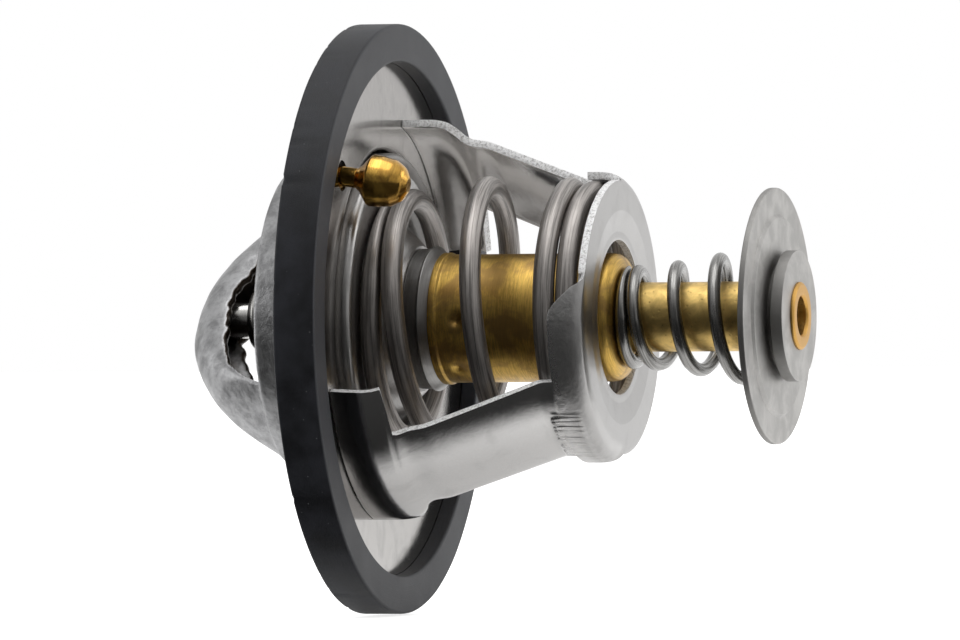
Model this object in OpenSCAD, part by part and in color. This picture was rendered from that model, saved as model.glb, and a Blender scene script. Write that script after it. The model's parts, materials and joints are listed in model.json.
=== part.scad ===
// Engine coolant thermostat with a bypass valve.
// A wax element on the axis lifts the main valve off its seat in the flange against the
// main spring, and carries a sprung bypass disc on its stem.
// The axis is X, towards the bypass disc. The origin is the middle plane of the gasket.

/* [Gasket] */
// Outside diameter of the rubber gasket
gasket_d = 64; // [62:0.5:70]
// Width of the gasket along the axis
gasket_w = 4.6; // [3.8:0.1:6]
// Depth of the rubber outside the flange's edge
gasket_cover = 2; // [1.5:0.1:2.5]
// Reach of the gasket's two lips over the flange
gasket_lip = 2.1; // [1.5:0.1:3]
// Radius of the gasket's outer corners
gasket_corner = 0.35; // [0.1:0.05:0.8]

/* [Flange and seat] */
// Sheet thickness of the flange and its bridge
flange_t = 1; // [0.8:0.1:1.2]
// Length of the conical seat wall behind the flange
seat_depth = 8.6; // [7:0.2:10]
// Outside diameter at the crest of the seat wall
crest_d = 33; // [32:0.2:34]
// Radius of the drawn edge where the flange turns into the seat
draw_radius = 1.1; // [0.6:0.1:1.6]

/* [Bridge] */
// Distance from the flange to the crown of the bridge
crown_reach = 21.4; // [18:0.2:24]
// Half width of the bridge at its crown
crown_half = 3.5; // [3.5:0.1:4.6]
// Depth of the bridge's rolled sides at its crown
crown_depth = 5.7; // [4:0.1:6]
// Half width of a bridge arm at its foot
arm_foot_half = 5.9; // [5:0.1:7.5]
// Depth of the rolled sides at an arm's foot
arm_foot_depth = 0.9; // [0.8:0.1:2]
// Angle of the bridge about the axis
bridge_angle = 43; // [0:1:90]

/* [Lower frame] */
// Sheet thickness of the lower frame
frame_t = 0.8; // [0.6:0.05:0.9]
// Outside diameter across the feet
feet_d = 44.8; // [43.6:0.2:45.4]
// Width of a foot at the flange
foot_w = 20.8; // [18:0.2:24]
// Growth of a foot's width towards its shoulder
foot_taper = 0.8; // [0:0.1:1.2]
// Length of a foot along the axis
foot_len = 5.5; // [4.4:0.1:6]
// Outside diameter across the shoulders
shoulder_d = 41.4; // [40.4:0.2:42]
// Distance from the flange to the end of the shoulder
shoulder_end = 9.4; // [8.8:0.2:10.4]
// Width of a leg
leg_w = 12.2; // [10:0.2:15]
// Sideways offset of a leg at the end cup
leg_shift = 0.45; // [0:0.05:1]
// Sideways lean of a leg between the end cup and its shoulder
leg_lean = 1.25; // [0:0.05:1.5]
// Sideways offset of a foot from its leg's line
foot_offset = 0.8; // [0:0.1:1]
// Outside diameter of the end cup
cup_d = 31.4; // [31.2:0.1:32]
// Distance from the flange to the outer face of the end cup
frame_len = 26.5; // [25.5:0.1:28]
// Length of the end cup's skirt
skirt_len = 3.8; // [3:0.1:5]
// Radius of the end cup's corner
cup_corner = 2.3; // [1.9:0.1:2.4]
// Diameter of the hole in the end cup
cup_hole_d = 16.7; // [16:0.1:18]
// Depth of the dish round the hole
cup_dish = 0.35; // [0.1:0.05:0.6]
// Angle of the legs about the axis
leg_angle = 50; // [0:1:90]
// Width of the tab that locks a foot in the flange
tab_w = 8; // [6:0.5:10]

/* [Main valve] */
// Diameter of the main valve
valve_d = 36; // [35.4:0.1:36.2]
// Sheet thickness of the main valve
valve_t = 1; // [0.8:0.1:1.2]
// Height of the valve's rim over the flange
valve_rise = 1.3; // [1:0.1:1.8]
// Depth of the valve's turned-back rim
rim_depth = 2.6; // [2.2:0.1:3]
// Width of the valve's raised rim
rim_band = 2.8; // [2.6:0.1:3.4]
// Depth of the valve's face inside that rim
face_drop = 0.5; // [0.3:0.05:0.65]
// Diameter at the bottom of the valve's hub
hub_d = 22; // [21:0.2:22.4]
// Height of the hub over the valve's rim
hub_h = 2.6; // [2.2:0.1:3.2]
// Width of the collar that locks the hub
collar_w = 2.7; // [2:0.1:3]
// Wall of that collar
collar_t = 0.65; // [0.4:0.05:1]

/* [Wax element] */
// Diameter of the brass element case
case_d = 13.9; // [13:0.1:14.6]
// Wall of the element case
case_wall = 1; // [0.8:0.1:1.3]
// Distance from the flange to the end of the case
case_end = 27; // [26:0.1:28.5]
// Radius of the case's end shoulder
case_corner = 1.8; // [1:0.1:2.4]
// Diameter of the piston
piston_d = 4; // [3.4:0.1:4.4]
// Running clearance round the piston
piston_gap = 0.05; // [0.02:0.01:0.08]
// Diameter of the guide's nose
guide_d = 7.6; // [7:0.1:8]
// Distance from the flange back to the tip of the guide
guide_reach = 15.1; // [13:0.1:16]

/* [Bypass valve] */
// Diameter of the bypass stem
stem_d = 7.5; // [7:0.1:8]
// Distance from the flange to the end of the stem
stem_end = 46.7; // [45:0.1:48]
// Diameter of the hollow at the stem's end
rivet_hole_d = 4.2; // [3.4:0.1:4.6]
// Diameter of the bypass disc
disc_d = 27.6; // [25:0.2:30]
// Sheet thickness of the bypass disc
disc_t = 0.7; // [0.6:0.05:1]
// Diameter of the disc's raised middle
disc_step_d = 21.6; // [19:0.2:23]
// Height of that raised middle
disc_step = 0.35; // [0.2:0.05:0.5]
// Sliding clearance of the disc on the stem
disc_gap = 0.1; // [0.06:0.01:0.1]
// Diameter of the washer that holds the disc
washer_d = 14.1; // [12:0.1:16]
// Thickness of that washer
washer_t = 1.3; // [1:0.1:1.6]

/* [Springs] */
// Wire diameter of the main spring
main_wire = 2.35; // [2:0.05:2.4]
// Mean coil diameter of the main spring at the valve
main_coil_d = 25.4; // [25:0.1:26]
// Turns of the main spring
main_turns = 4.15; // [4:0.05:4.4]
// Wire diameter of the bypass spring
bypass_wire = 1.45; // [1.2:0.05:1.5]
// Gap between the bypass spring's small end and the stem
bypass_coil_gap = 0.4; // [0.25:0.05:0.8]
// Growth of the bypass spring's coil diameter towards the disc
bypass_flare = 4.8; // [1:0.1:5]
// Turns of the bypass spring
bypass_turns = 4.6; // [4:0.05:5]

/* [Jiggle pin] */
// Diameter of the jiggle pin's neck
neck_d = 2.15; // [2:0.05:2.6]
// Diameter of the hole in the flange for the jiggle pin
jiggle_hole_d = 3.3; // [3.2:0.1:3.6]
// Diameter of the jiggle pin's weight
weight_d = 5.6; // [4.8:0.1:6]
// Distance from the flange to the tip of the weight
weight_reach = 7.6; // [7:0.1:8.4]
// Radius of the circle that the jiggle pin sits on
jiggle_r = 22.2; // [22:0.1:24]
// Angle of the jiggle pin about the axis
jiggle_angle = 136; // [125:1:150]
// Droop of the loose pin in its hole
jiggle_droop = 6; // [0:0.5:7]

/* [Hidden] */
$fn = 96;

// Small static gap between pieces that are fixed together
seat_gap = 0.02;
// Gap between parts that touch but belong to moving bodies
touch_gap = 0.05;
// Gap between the main spring's ends and their seats
face_gap = 0.08;

// How far the springs' middles swell out and draw in, where their wires start, and the part of
// a turn that the main spring's ground tip runs back under its second turn
main_bulge = 1.2;
main_start = 165;
main_tip = 0.15;
bypass_waist = 0.35;
bypass_start = 130;

// Flange plate, seat wall and crest
flange_r = gasket_d / 2 - gasket_cover;
plate_front = flange_t / 2;
plate_back = -flange_t / 2;
crest_r = crest_d / 2;
crest_x = plate_back - seat_depth;
crown_x = plate_front - crown_reach;
rim_r = valve_d / 2;
valve_top = plate_front + valve_rise;
valve_face = valve_top - face_drop;
rim_back = valve_top - rim_depth;
seat_touch_r = rim_r + touch_gap;
seat_slope = (seat_touch_r - crest_r + flange_t) / (rim_back - crest_x);

// Lower frame stations along the axis
foot_start = plate_front + 0.5;
foot_end = plate_front + foot_len;
shoulder_start = foot_end + (feet_d - shoulder_d) / 2;
shoulder_stop = plate_front + shoulder_end;
frame_face = plate_front + frame_len;
frame_inner = frame_face - frame_t;
skirt_back = frame_face - skirt_len;
leg_merge = skirt_back - 1.3;
tab_gap = 0.1;
tab_hook = 2.2;
outline_spare = 3;

// Wax element stations along the axis
case_r = case_d / 2;
case_bore_r = case_r - case_wall;
hub_top = valve_top + hub_h;
collar_end = hub_top + collar_w;
case_stop = plate_front + case_end;
case_base = 2;
crimp_x = valve_top - 0.8;
crimp_t = 0.5;
guide_flange_x = crimp_x + crimp_t;
guide_flange_t = 2;
guide_flange_r = case_r - 0.55;
guide_tip = plate_front - guide_reach;
guide_bore_r = piston_d / 2 + piston_gap;
washer_x = guide_flange_x + guide_flange_t;
seal_pocket_r = 3.3;
seal_pocket = 1.6;
backup_t = 0.8;
boot_x = washer_x + backup_t;
boot_flange_t = 1.2;
boot_end_gap = 4.5;
boot_tip = case_stop - case_base - boot_end_gap;
boot_r = 3.2;
piston_tip = crown_x + flange_t + face_gap;
piston_end = boot_tip - boot_r - 2.5;

// Bypass valve stations along the axis
stem_r = stem_d / 2;
stem_stop = plate_front + stem_end;
rivet_rise = 0.4;
washer_front = stem_stop - rivet_rise;
washer_back = washer_front - washer_t;
disc_front = washer_back - touch_gap;
disc_back = disc_front - disc_t - disc_step - 0.65;
journal_r = stem_r - 1;
spigot_r = 2;
rivet_depth = 7;

// Jiggle pin stations along its own axis, from the flange's middle plane
neck_r = neck_d / 2;
weight_r = weight_d / 2;
weight_tip = plate_front + weight_reach;
neck_len = 1.5;
weight_start = plate_front + neck_len;
head_lip = 0.7;
head_r = jiggle_hole_d / 2 + head_lip;
head_t = 0.8;
head_gap = 0.45;
tang_step = 0.4;
tang_r = neck_r - tang_step;
tang_start = weight_start + 0.2;
tang_len = 2.2;
tang_end = tang_start + tang_len;

// Colours
steel = [0.72, 0.71, 0.69];
dull_steel = [0.6, 0.59, 0.57];
brass = [0.78, 0.6, 0.28];
gold = [0.85, 0.66, 0.25];
black = [0.12, 0.12, 0.14];
amber = [0.75, 0.65, 0.4];

// Puts shapes drawn about local Z onto the part's X axis, with local X along Y and local Y up.
module on_axis() {
    rotate([90, 0, 90]) children();
}

// Turns a profile of [radius, place along the axis] points about the axis.
module turned(points) {
    on_axis() rotate_extrude() polygon(points);
}

// Points of an arc in the profile plane, round (r, x), from angle a to angle b.
function arc(r, x, radius, a, b, steps = 6) =
    [for (i = [0 : steps]) let (t = a + (b - a) * i / steps) [r + radius * cos(t), x + radius * sin(t)]];

// The wall of a sheet: the outer line of [radius, x] points, then the same line moved in by t.
function unit(v) = v / norm(v);
function side(p, q) = let (d = unit(q - p)) [-d[1], d[0]];
function sheet_inner(line, t) = [for (i = [len(line) - 1 : -1 : 0])
    let (before = i > 0 ? side(line[i - 1], line[i]) : side(line[i], line[i + 1]))
    let (after = i < len(line) - 1 ? side(line[i], line[i + 1]) : before)
    let (middle = before + after)
    line[i] + middle * 2 * t / (middle * middle)];
function sheet(line, t) = concat(line, sheet_inner(line, t));

// A round wire that climbs from x0 to x1 in a right-handed coil with one closed turn at each
// end. A part of a turn more lies stacked on each: stacked holds those parts. r0, r1 and bulge
// give the mean radius, and start is its first angle. A ground tip, flattened to fit under the
// second turn, runs back from there by tip turns.
module coil(x0, x1, r0, r1, bulge, wire, turns, start, stacked, sides, steps, tip = 0) {
    closed = wire + touch_gap;
    low = x0 + wire / 2;
    high = x1 - wire / 2;
    flat = 2 + stacked[0] + stacked[1];
    pitch = (high - low - closed * flat) / (turns - flat);
    rings = round((turns + tip) * steps);
    function climb(t, s) = t > 1 + s ? closed * (1 + s) + pitch * (t - 1 - s)
        : s > 0 ? closed * t : closed * pow(t, pitch / closed);
    function thick(t) = t < 0 ? closed * pow(1 + t, pitch / closed) - touch_gap : wire;
    function place(t) = t < 0 ? x0 + thick(t) / 2
        : t < turns - 1 - stacked[1] ? low + climb(t, stacked[0])
        : high - climb(turns - t, stacked[1]);
    function radius(t) = let (k = (place(t) - low) / (high - low)) r0 + (r1 - r0) * k + bulge * 4 * k * (1 - k);
    points = [for (i = [0 : rings], j = [0 : sides - 1])
        let (t = (turns + tip) * i / rings - tip)
        let (a = start + 360 * t)
        let (b = 360 * j / sides)
        let (r = radius(t) + wire / 2 * cos(b))
        [r * cos(a), r * sin(a), place(t) + thick(t) / 2 * sin(b)]];
    walls = [for (i = [0 : rings - 1], j = [0 : sides - 1], half = [0, 1])
        let (k = (j + 1) % sides)
        let (p = i * sides)
        let (q = p + sides)
        half == 0 ? [p + j, p + k, q + k] : [p + j, q + k, q + j]];
    first = [for (j = [1 : sides - 2]) [0, j + 1, j]];
    end = rings * sides;
    last = [for (j = [1 : sides - 2]) [end, end + j, end + j + 1]];
    on_axis() polyhedron(points, concat(walls, first, last));
}

// The bridge: a pressed channel over the seat wall, from crest to crest. Across it the sheet
// follows an ellipse whose width and depth go from the crown's to the foot's.
function mix(a, b, k) = a + (b - a) * k;
arm_sweep = 78;
arm_end_r = crest_r - 0.35;
arm_end_x = crest_x + 0.7;
// Height of the bridge's ridge at a distance u from the axis: a crown arc that runs into a
// straight arm, which drops to the crest.
crown_span = 0.72 * crest_r;
crown_fall = 4.3;
function ridge(u) = let (v = abs(u))
    v < crown_span ? crown_x + crown_fall * pow(v / crown_span, 2)
    : let (k = (v - crown_span) / (arm_end_r - crown_span))
    let (slope = 2 * crown_fall / crown_span * (arm_end_r - crown_span))
    crown_x + crown_fall + slope * k + (arm_end_x - crown_x - crown_fall - slope) * k * k;
function ridge_normal(u) = let (d = 0.02) let (v = unit([2 * d, ridge(u + d) - ridge(u - d)])) [-v[1], v[0]];
function bridge_point(u, a, inner) =
    let (k = abs(u) / arm_end_r)
    let (w = mix(crown_half, arm_foot_half, pow(k, 3.5)))
    let (h = mix(crown_depth, arm_foot_depth, pow(k, 2.5)))
    let (n = unit([-h * sin(a), w * cos(a)]))
    let (s = w * sin(a) + inner * n[0])
    let (drop = h * (1 - cos(a)) + inner * n[1])
    let (m = ridge_normal(u))
    [u + drop * m[0], s, ridge(u) + drop * m[1]];

module bridge_arms(stations = 40, across = 10) {
    ring = 2 * (across + 1);
    points = [for (i = [0 : stations], j = [0 : ring - 1])
        let (u = arm_end_r * (2 * i / stations - 1))
        let (inner = j > across ? flange_t : 0)
        let (a = j > across ? arm_sweep * (1 - 2 * (j - across - 1) / across) : arm_sweep * (2 * j / across - 1))
        bridge_point(u, a, inner)];
    walls = [for (i = [0 : stations - 1], j = [0 : ring - 1], half = [0, 1])
        let (k = (j + 1) % ring)
        let (p = i * ring)
        let (q = p + ring)
        half == 0 ? [p + j, q + k, p + k] : [p + j, q + j, q + k]];
    first = [for (j = [0 : across - 1], half = [0, 1])
        half == 0 ? [j, j + 1, ring - 1 - j] : [j + 1, ring - 2 - j, ring - 1 - j]];
    end = stations * ring;
    last = [for (t = first) [end + t[0], end + t[2], end + t[1]]];
    on_axis() rotate([0, 0, bridge_angle]) polyhedron(points, concat(walls, first, last));
}

module flange_bridge() {
    wall_at = crest_r - flange_t - seat_slope * crest_x;
    turn = atan(seat_slope);
    edge_x = plate_front - draw_radius;
    edge_r = wall_at + seat_slope * edge_x + draw_radius / cos(turn);
    outer_bend = draw_radius + flange_t;
    lip = flange_t / 4;
    color(steel) difference() {
        union() {
            turned(concat(
                [[crest_r - flange_t, crest_x + lip], [crest_r - flange_t + lip, crest_x],
                    [crest_r - lip, crest_x], [crest_r, crest_x + lip],
                    [wall_at + seat_slope * plate_back + flange_t / cos(turn), plate_back],
                    [flange_r, plate_back], [flange_r, plate_front]],
                arc(edge_r, edge_x, draw_radius, 90, 180 - turn, 5)));
            bridge_arms();
        }
        jiggle_place() translate([0, 0, -flange_t]) cylinder(d = jiggle_hole_d, h = 2 * flange_t);
        on_axis() feet() tab_slot();
    }
}

module rubber_gasket() {
    half = gasket_w / 2;
    lip_r = flange_r - gasket_lip;
    outer = gasket_d / 2;
    groove_r = flange_r + touch_gap;
    c = gasket_corner;
    color(black) turned(concat(
        [[groove_r, plate_front], [lip_r, plate_front]],
        arc(lip_r + c, half - c, c, 180, 90, 3), arc(outer - c, half - c, c, 90, 0, 3),
        arc(outer - c, c - half, c, 0, -90, 3), arc(lip_r + c, c - half, c, 270, 180, 3),
        [[lip_r, plate_back], [groove_r, plate_back]]));
}

// Places two like shapes at the legs, drawn with local X as the leg's direction.
module feet() {
    for (turn = [0, 180]) rotate([0, 0, leg_angle + turn]) children();
}

// A prism along local X, from an outline of [across, along the axis] points.
module across_leg(outline, reach) {
    rotate([90, 0, 90]) linear_extrude(height = reach) polygon(outline);
}

module tab_slot() {
    half = tab_w / 2 + tab_gap;
    inner = feet_d / 2 - frame_t - tab_gap;
    intersection() {
        translate([0, 0, -flange_t]) difference() {
            cylinder(r = feet_d / 2 + tab_gap, h = 2 * flange_t);
            translate([0, 0, -1]) cylinder(r = inner, h = 2 * flange_t + 2);
        }
        translate([inner / 2, -half - foot_offset, -flange_t])
            cube([inner, 2 * half, 2 * flange_t]);
    }
}

// The lower frame's section: foot, shoulder, leg and end cup as one bent sheet.
function frame_line() = concat(
    [[feet_d / 2, foot_start]],
    arc(feet_d / 2 - 1, foot_end - 0.6, 1, 0, 45, 3),
    [[shoulder_d / 2 + 0.1, shoulder_start]],
    arc(shoulder_d / 2 - 1, shoulder_stop - 0.8, 1, 0, 20, 2),
    [[cup_d / 2, leg_merge]],
    arc(cup_d / 2 - cup_corner, frame_face - cup_corner, cup_corner, 0, 90, 6),
    [[cup_hole_d / 2 + 2.4, frame_face], [cup_hole_d / 2 + 0.9, frame_face - cup_dish],
        [cup_hole_d / 2, frame_face - cup_dish]]);

// A leg's outline: a square notch beside the foot on one edge and a slanted one on the other.
function leg_outline() = let (f = foot_w / 2) let (l = leg_w / 2) let (bend = 1.3)
    let (top = leg_lean - leg_shift)
    let (cup = skirt_back + 2) concat(
    [[-f - foot_offset, plate_back], [-f - foot_offset - foot_taper, foot_end]],
    arc(top - l - bend, foot_end + bend, bend, -90, 0, 5),
    [[-leg_shift - l, cup], [l - leg_shift, cup]],
    arc(top + l + bend, shoulder_start + 0.5, bend, 180, 270, 5),
    [[f - foot_offset, foot_end], [f - foot_offset, plate_back]]);

module lower_frame() {
    reach = feet_d / 2 + outline_spare;
    color(steel) on_axis() {
        difference() {
            intersection() {
                rotate_extrude() polygon(sheet(frame_line(), frame_t));
                union() {
                    feet() across_leg(leg_outline(), reach);
                    translate([0, 0, skirt_back]) cylinder(r = reach, h = frame_len);
                }
            }
            feet() skirt_cut();
            feet() skirt_corner();
        }
        feet() lock_tab();
    }
}

// Trims the cup's corner off between the legs, where the plate ends in a bare sheared edge.
bare_from = 40;
bare_to = 119;
module skirt_cut() {
    depth = 3;
    back = skirt_back - 1;
    rotate([0, 0, bare_from]) rotate_extrude(angle = bare_to - bare_from)
        translate([cup_d / 2 - cup_corner + 0.9, back])
            square([depth + cup_corner, frame_face - frame_t - back]);
    rotate([0, 0, bare_from]) rotate_extrude(angle = bare_to - bare_from)
        translate([cup_d / 2 - 0.9, back]) square([depth, frame_len]);
}

// The curved end of a skirt, where it runs into that bare edge.
module skirt_corner() {
    width = 2.4;
    back = skirt_back - 1;
    stop = frame_inner;
    drop = stop - skirt_back;
    rotate([0, 0, bare_to]) across_leg([
        [-width / 2, back], [width, back], [width, skirt_back + drop * 0.06],
        [width * 0.85, skirt_back + drop * 0.2], [width * 0.15, stop - drop * 0.25],
        [0, stop - drop * 0.05], [-width / 2, stop]], cup_d / 2 + 1);
}

module lock_tab() {
    half = tab_w / 2;
    inner = feet_d / 2 - frame_t + touch_gap;
    outer = feet_d / 2 - touch_gap;
    root = foot_start + frame_t;
    bend = 0.3;
    intersection() {
        rotate_extrude() polygon([
            [inner, root], [outer, root], [outer, plate_back - seat_gap],
            [outer + tab_hook, plate_back - seat_gap], [outer + tab_hook, plate_back - frame_t],
            [inner + bend, plate_back - frame_t], [inner, plate_back - frame_t + bend]]);
        translate([inner / 2, -half - foot_offset, -gasket_w])
            cube([inner + tab_hook, tab_w, 2 * gasket_w]);
    }
}

module piston() {
    r = piston_d / 2;
    tip = 1.6 * r;
    color(steel) turned(concat(
        [for (t = [0 : 15 : 90]) [r * sin(t), piston_tip + tip * (1 - cos(t))]],
        [[r, piston_end - 0.4], [r - 0.4, piston_end], [0, piston_end]]));
}

module main_spring() {
    r0 = main_coil_d / 2;
    r1 = cup_d / 2 - frame_t - main_wire / 2 - 0.28;
    color(dull_steel) coil(valve_face + face_gap, frame_inner - face_gap, r0, r1, main_bulge,
        main_wire, main_turns, main_start, [0, 0.3], 12, 22, main_tip);
}

module main_valve() {
    face_r = rim_r - rim_band;
    face_slope = 0.8;
    bore = case_r + seat_gap;
    corner = valve_t + 0.05;
    line = concat(
        [[rim_r, rim_back]],
        arc(rim_r - corner, valve_top - corner, corner, 0, 90, 4),
        [[face_r + face_slope, valve_top], [face_r, valve_face], [hub_d / 2, valve_face]],
        [[case_r + 1.4, hub_top - 0.5], [case_r + 1, hub_top], [bore, hub_top]]);
    color(steel) turned(sheet(line, valve_t));
}

module valve_collar() {
    bore = case_r + seat_gap;
    outer = case_r + collar_t;
    color(steel) turned([
        [bore, hub_top], [outer, hub_top], [outer, collar_end - 0.55], [outer + 0.3, collar_end - 0.4],
        [outer + 0.3, collar_end - 0.1], [outer + 0.2, collar_end], [bore, collar_end]]);
}

module element_case() {
    c = case_corner;
    spigot_bore = spigot_r + seat_gap;
    lip_r = guide_flange_r - 0.7;
    color(brass) turned(concat(
        [[lip_r, crimp_x], [case_r - 0.3, crimp_x], [case_r, crimp_x + 0.3],
            [case_r, collar_end], [case_r + 0.2, collar_end], [case_r + 0.2, collar_end + 0.7],
            [case_r, collar_end + 0.9]],
        arc(case_r - c, case_stop - c, c, 0, 90, 6),
        [[spigot_bore, case_stop], [spigot_bore, case_stop - case_base],
            [case_bore_r, case_stop - case_base], [case_bore_r, washer_x],
            [guide_flange_r, washer_x], [guide_flange_r, guide_flange_x], [lip_r, guide_flange_x]]));
}

module wax_charge() {
    r = case_bore_r - seat_gap;
    core = boot_r + seat_gap;
    start = boot_x + boot_flange_t;
    neck = boot_tip - boot_r;
    color(amber) turned(concat(
        [[core, start], [r, start], [r, case_stop - case_base], [0, case_stop - case_base]],
        [for (p = arc(0, neck, core, 90, 0, 6)) p]));
}

module rubber_boot() {
    r = case_bore_r - seat_gap;
    neck = boot_tip - boot_r;
    bore = guide_bore_r;
    stop = piston_end + 0.3;
    color(black) turned(concat(
        [[bore, boot_x], [r, boot_x], [r, boot_x + boot_flange_t], [boot_r, boot_x + boot_flange_t]],
        arc(0, neck, boot_r, 0, 90, 6),
        [[0, stop + 0.6], [bore - 0.6, stop + 0.6], [bore, stop]]));
}

module backup_washer() {
    color("white") turned([
        [guide_bore_r, washer_x], [case_bore_r - seat_gap, washer_x],
        [case_bore_r - seat_gap, boot_x], [guide_bore_r, boot_x]]);
}

module guide_seal() {
    color(black) turned([
        [guide_bore_r, washer_x - seal_pocket], [seal_pocket_r - seat_gap, washer_x - seal_pocket],
        [seal_pocket_r - seat_gap, washer_x], [guide_bore_r, washer_x]]);
}

module piston_guide() {
    r = guide_d / 2;
    flange_r = guide_flange_r - seat_gap;
    color(steel) turned([
        [guide_bore_r, guide_tip], [r - 0.7, guide_tip], [r, guide_tip + 0.7],
        [r, crimp_x - 2], [r + 1, crimp_x - 1], [r + 1, guide_flange_x],
        [flange_r, guide_flange_x], [flange_r, washer_x], [seal_pocket_r, washer_x],
        [seal_pocket_r, washer_x - seal_pocket], [guide_bore_r, washer_x - seal_pocket]]);
}

module bypass_stem() {
    hole = rivet_hole_d / 2;
    chamfer = 0.25;
    journal_x = disc_back - rivet_depth;
    color(gold) turned([
        [0, case_stop - case_base], [spigot_r, case_stop - case_base], [spigot_r, case_stop],
        [stem_r - 0.3, case_stop], [stem_r, case_stop + 0.3], [stem_r, washer_back],
        [journal_r, washer_back], [journal_r, washer_front], [stem_r - 0.1, washer_front],
        [stem_r - 0.1, stem_stop - chamfer], [stem_r - 0.1 - chamfer, stem_stop],
        [hole + chamfer, stem_stop], [hole, stem_stop - chamfer], [hole, journal_x], [0, journal_x - hole / 2]]);
}

module bypass_spring() {
    r0 = stem_r + bypass_coil_gap + bypass_wire / 2;
    color(dull_steel) coil(case_stop + touch_gap, disc_back - touch_gap, r0, r0 + bypass_flare / 2,
        -bypass_waist, bypass_wire, bypass_turns, bypass_start, [0.25, 0], 10, 20);
}

module bypass_washer() {
    edge = 0.15;
    color(steel) turned([
        [journal_r + seat_gap, washer_back], [washer_d / 2, washer_back],
        [washer_d / 2, washer_front - edge], [washer_d / 2 - edge, washer_front],
        [journal_r + seat_gap, washer_front]]);
}

// The disc's sheet steps forward twice: once at its raised middle, and again under the washer.
module bypass_disc() {
    bore = stem_r + disc_gap;
    step_r = disc_step_d / 2;
    boss_r = stem_r + 1.6;
    back = disc_back;
    mid = disc_back + disc_step;
    color(steel) turned([
        [bore, mid + 0.65], [boss_r - 0.5, mid + 0.65], [boss_r, mid], [step_r - 0.5, mid],
        [step_r - 0.2, back], [disc_d / 2 - 0.15, back], [disc_d / 2, back + 0.15],
        [disc_d / 2, back + disc_t], [step_r + 0.1, back + disc_t], [step_r - 0.2, mid + disc_t],
        [boss_r + 0.5, mid + disc_t], [boss_r, disc_front], [bore, disc_front]]);
}

// Carries local Z to the jiggle pin's axis, square to the flange at its hole.
module jiggle_place() {
    on_axis() rotate([0, 0, jiggle_angle]) translate([jiggle_r, 0, 0]) children();
}

// The same place with the pin's droop in its hole.
module jiggle_droop_place() {
    on_axis() translate([jiggle_r * cos(jiggle_angle), jiggle_r * sin(jiggle_angle), 0])
        rotate([jiggle_droop, 0, 0]) children();
}

module jiggle_pin() {
    back = plate_back - head_gap - head_t;
    color(gold) jiggle_droop_place() rotate_extrude() polygon([
        [0, back], [head_r - 0.3, back], [head_r, back + 0.3], [head_r, back + head_t],
        [neck_r, back + head_t], [neck_r, tang_start], [tang_r, tang_start],
        [tang_r, tang_end], [0, tang_end]]);
}

module jiggle_weight() {
    flare = 1.7;
    land = 1.1;
    bore = tang_r + seat_gap;
    nose_x = weight_start + flare + land;
    nose = weight_tip - nose_x;
    nose_flat = 0.7;
    color(gold) jiggle_droop_place() rotate_extrude() polygon(concat(
        [[bore, tang_start], [neck_r, tang_start], [weight_r - 0.15, weight_start + flare],
            [weight_r, weight_start + flare + 0.15]],
        [for (i = [0 : 7]) let (t = 90 * i / 7)
            [nose_flat + (weight_r - nose_flat) * cos(t), nose_x + nose * sin(t)]],
        [[0, weight_tip], [0, tang_end + seat_gap], [bore, tang_end + seat_gap]]));
}

flange_bridge();
rubber_gasket();
lower_frame();
piston();
main_spring();
main_valve();
valve_collar();
element_case();
wax_charge();
rubber_boot();
backup_washer();
guide_seal();
piston_guide();
bypass_stem();
bypass_spring();
bypass_washer();
bypass_disc();
jiggle_pin();
jiggle_weight();
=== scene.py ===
"""Looks of an engine coolant thermostat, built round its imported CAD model.

Each operator builds one piece, or a group of like pieces, in the CAD frame: +X runs along the
part's axis towards the bypass disc, +Z is up, and the origin is the middle of the gasket.
Outlines are written in millimetres, as [distance from the axis, place along it, fillet].
"""

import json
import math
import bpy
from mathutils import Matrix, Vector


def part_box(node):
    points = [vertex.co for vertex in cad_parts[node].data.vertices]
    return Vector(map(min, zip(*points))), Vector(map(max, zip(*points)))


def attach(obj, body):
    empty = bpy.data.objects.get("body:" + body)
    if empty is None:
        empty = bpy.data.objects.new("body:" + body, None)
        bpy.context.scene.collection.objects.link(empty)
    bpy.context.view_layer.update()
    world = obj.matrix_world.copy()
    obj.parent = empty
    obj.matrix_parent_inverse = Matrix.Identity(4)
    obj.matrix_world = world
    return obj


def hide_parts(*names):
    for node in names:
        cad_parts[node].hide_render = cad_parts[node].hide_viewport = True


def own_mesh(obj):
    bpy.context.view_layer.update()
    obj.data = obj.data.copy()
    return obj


bl_info = {
    "name": "Engine Coolant Thermostat",
    "version": (1, 0, 0),
    "blender": (4, 5, 0),
    "location": "View3D > Sidebar > Thermostat",
    "description": "Builds a wax thermostat with its gasket, bridge, springs and bypass valve",
    "category": "Add Mesh",
}

import bmesh
import bpy
from bpy.props import FloatProperty, FloatVectorProperty, IntProperty, PointerProperty
from mathutils import Matrix, Vector, noise

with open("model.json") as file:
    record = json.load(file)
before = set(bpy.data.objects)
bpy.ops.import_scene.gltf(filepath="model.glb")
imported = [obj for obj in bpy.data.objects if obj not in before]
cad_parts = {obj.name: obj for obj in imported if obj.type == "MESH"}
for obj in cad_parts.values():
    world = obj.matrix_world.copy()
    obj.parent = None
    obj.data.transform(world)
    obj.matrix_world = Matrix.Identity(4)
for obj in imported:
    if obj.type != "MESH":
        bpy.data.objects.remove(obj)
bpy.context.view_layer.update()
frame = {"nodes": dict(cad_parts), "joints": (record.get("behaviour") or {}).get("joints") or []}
MM = 0.001
FOOT_SHIFT = 0.8  # from a foot's middle to its leg's line, in millimetres
FOOT_END = 6.0  # place of the feet's shoulders along the axis, in millimetres


def cad_length(node, axis):
    """A CAD node's size along an axis, in metres."""
    low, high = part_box(node)
    return high[axis] - low[axis]


# Sizes and colours


def number(name, description, default, **more):
    return FloatProperty(name=name, description=description, default=default, **more)


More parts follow.
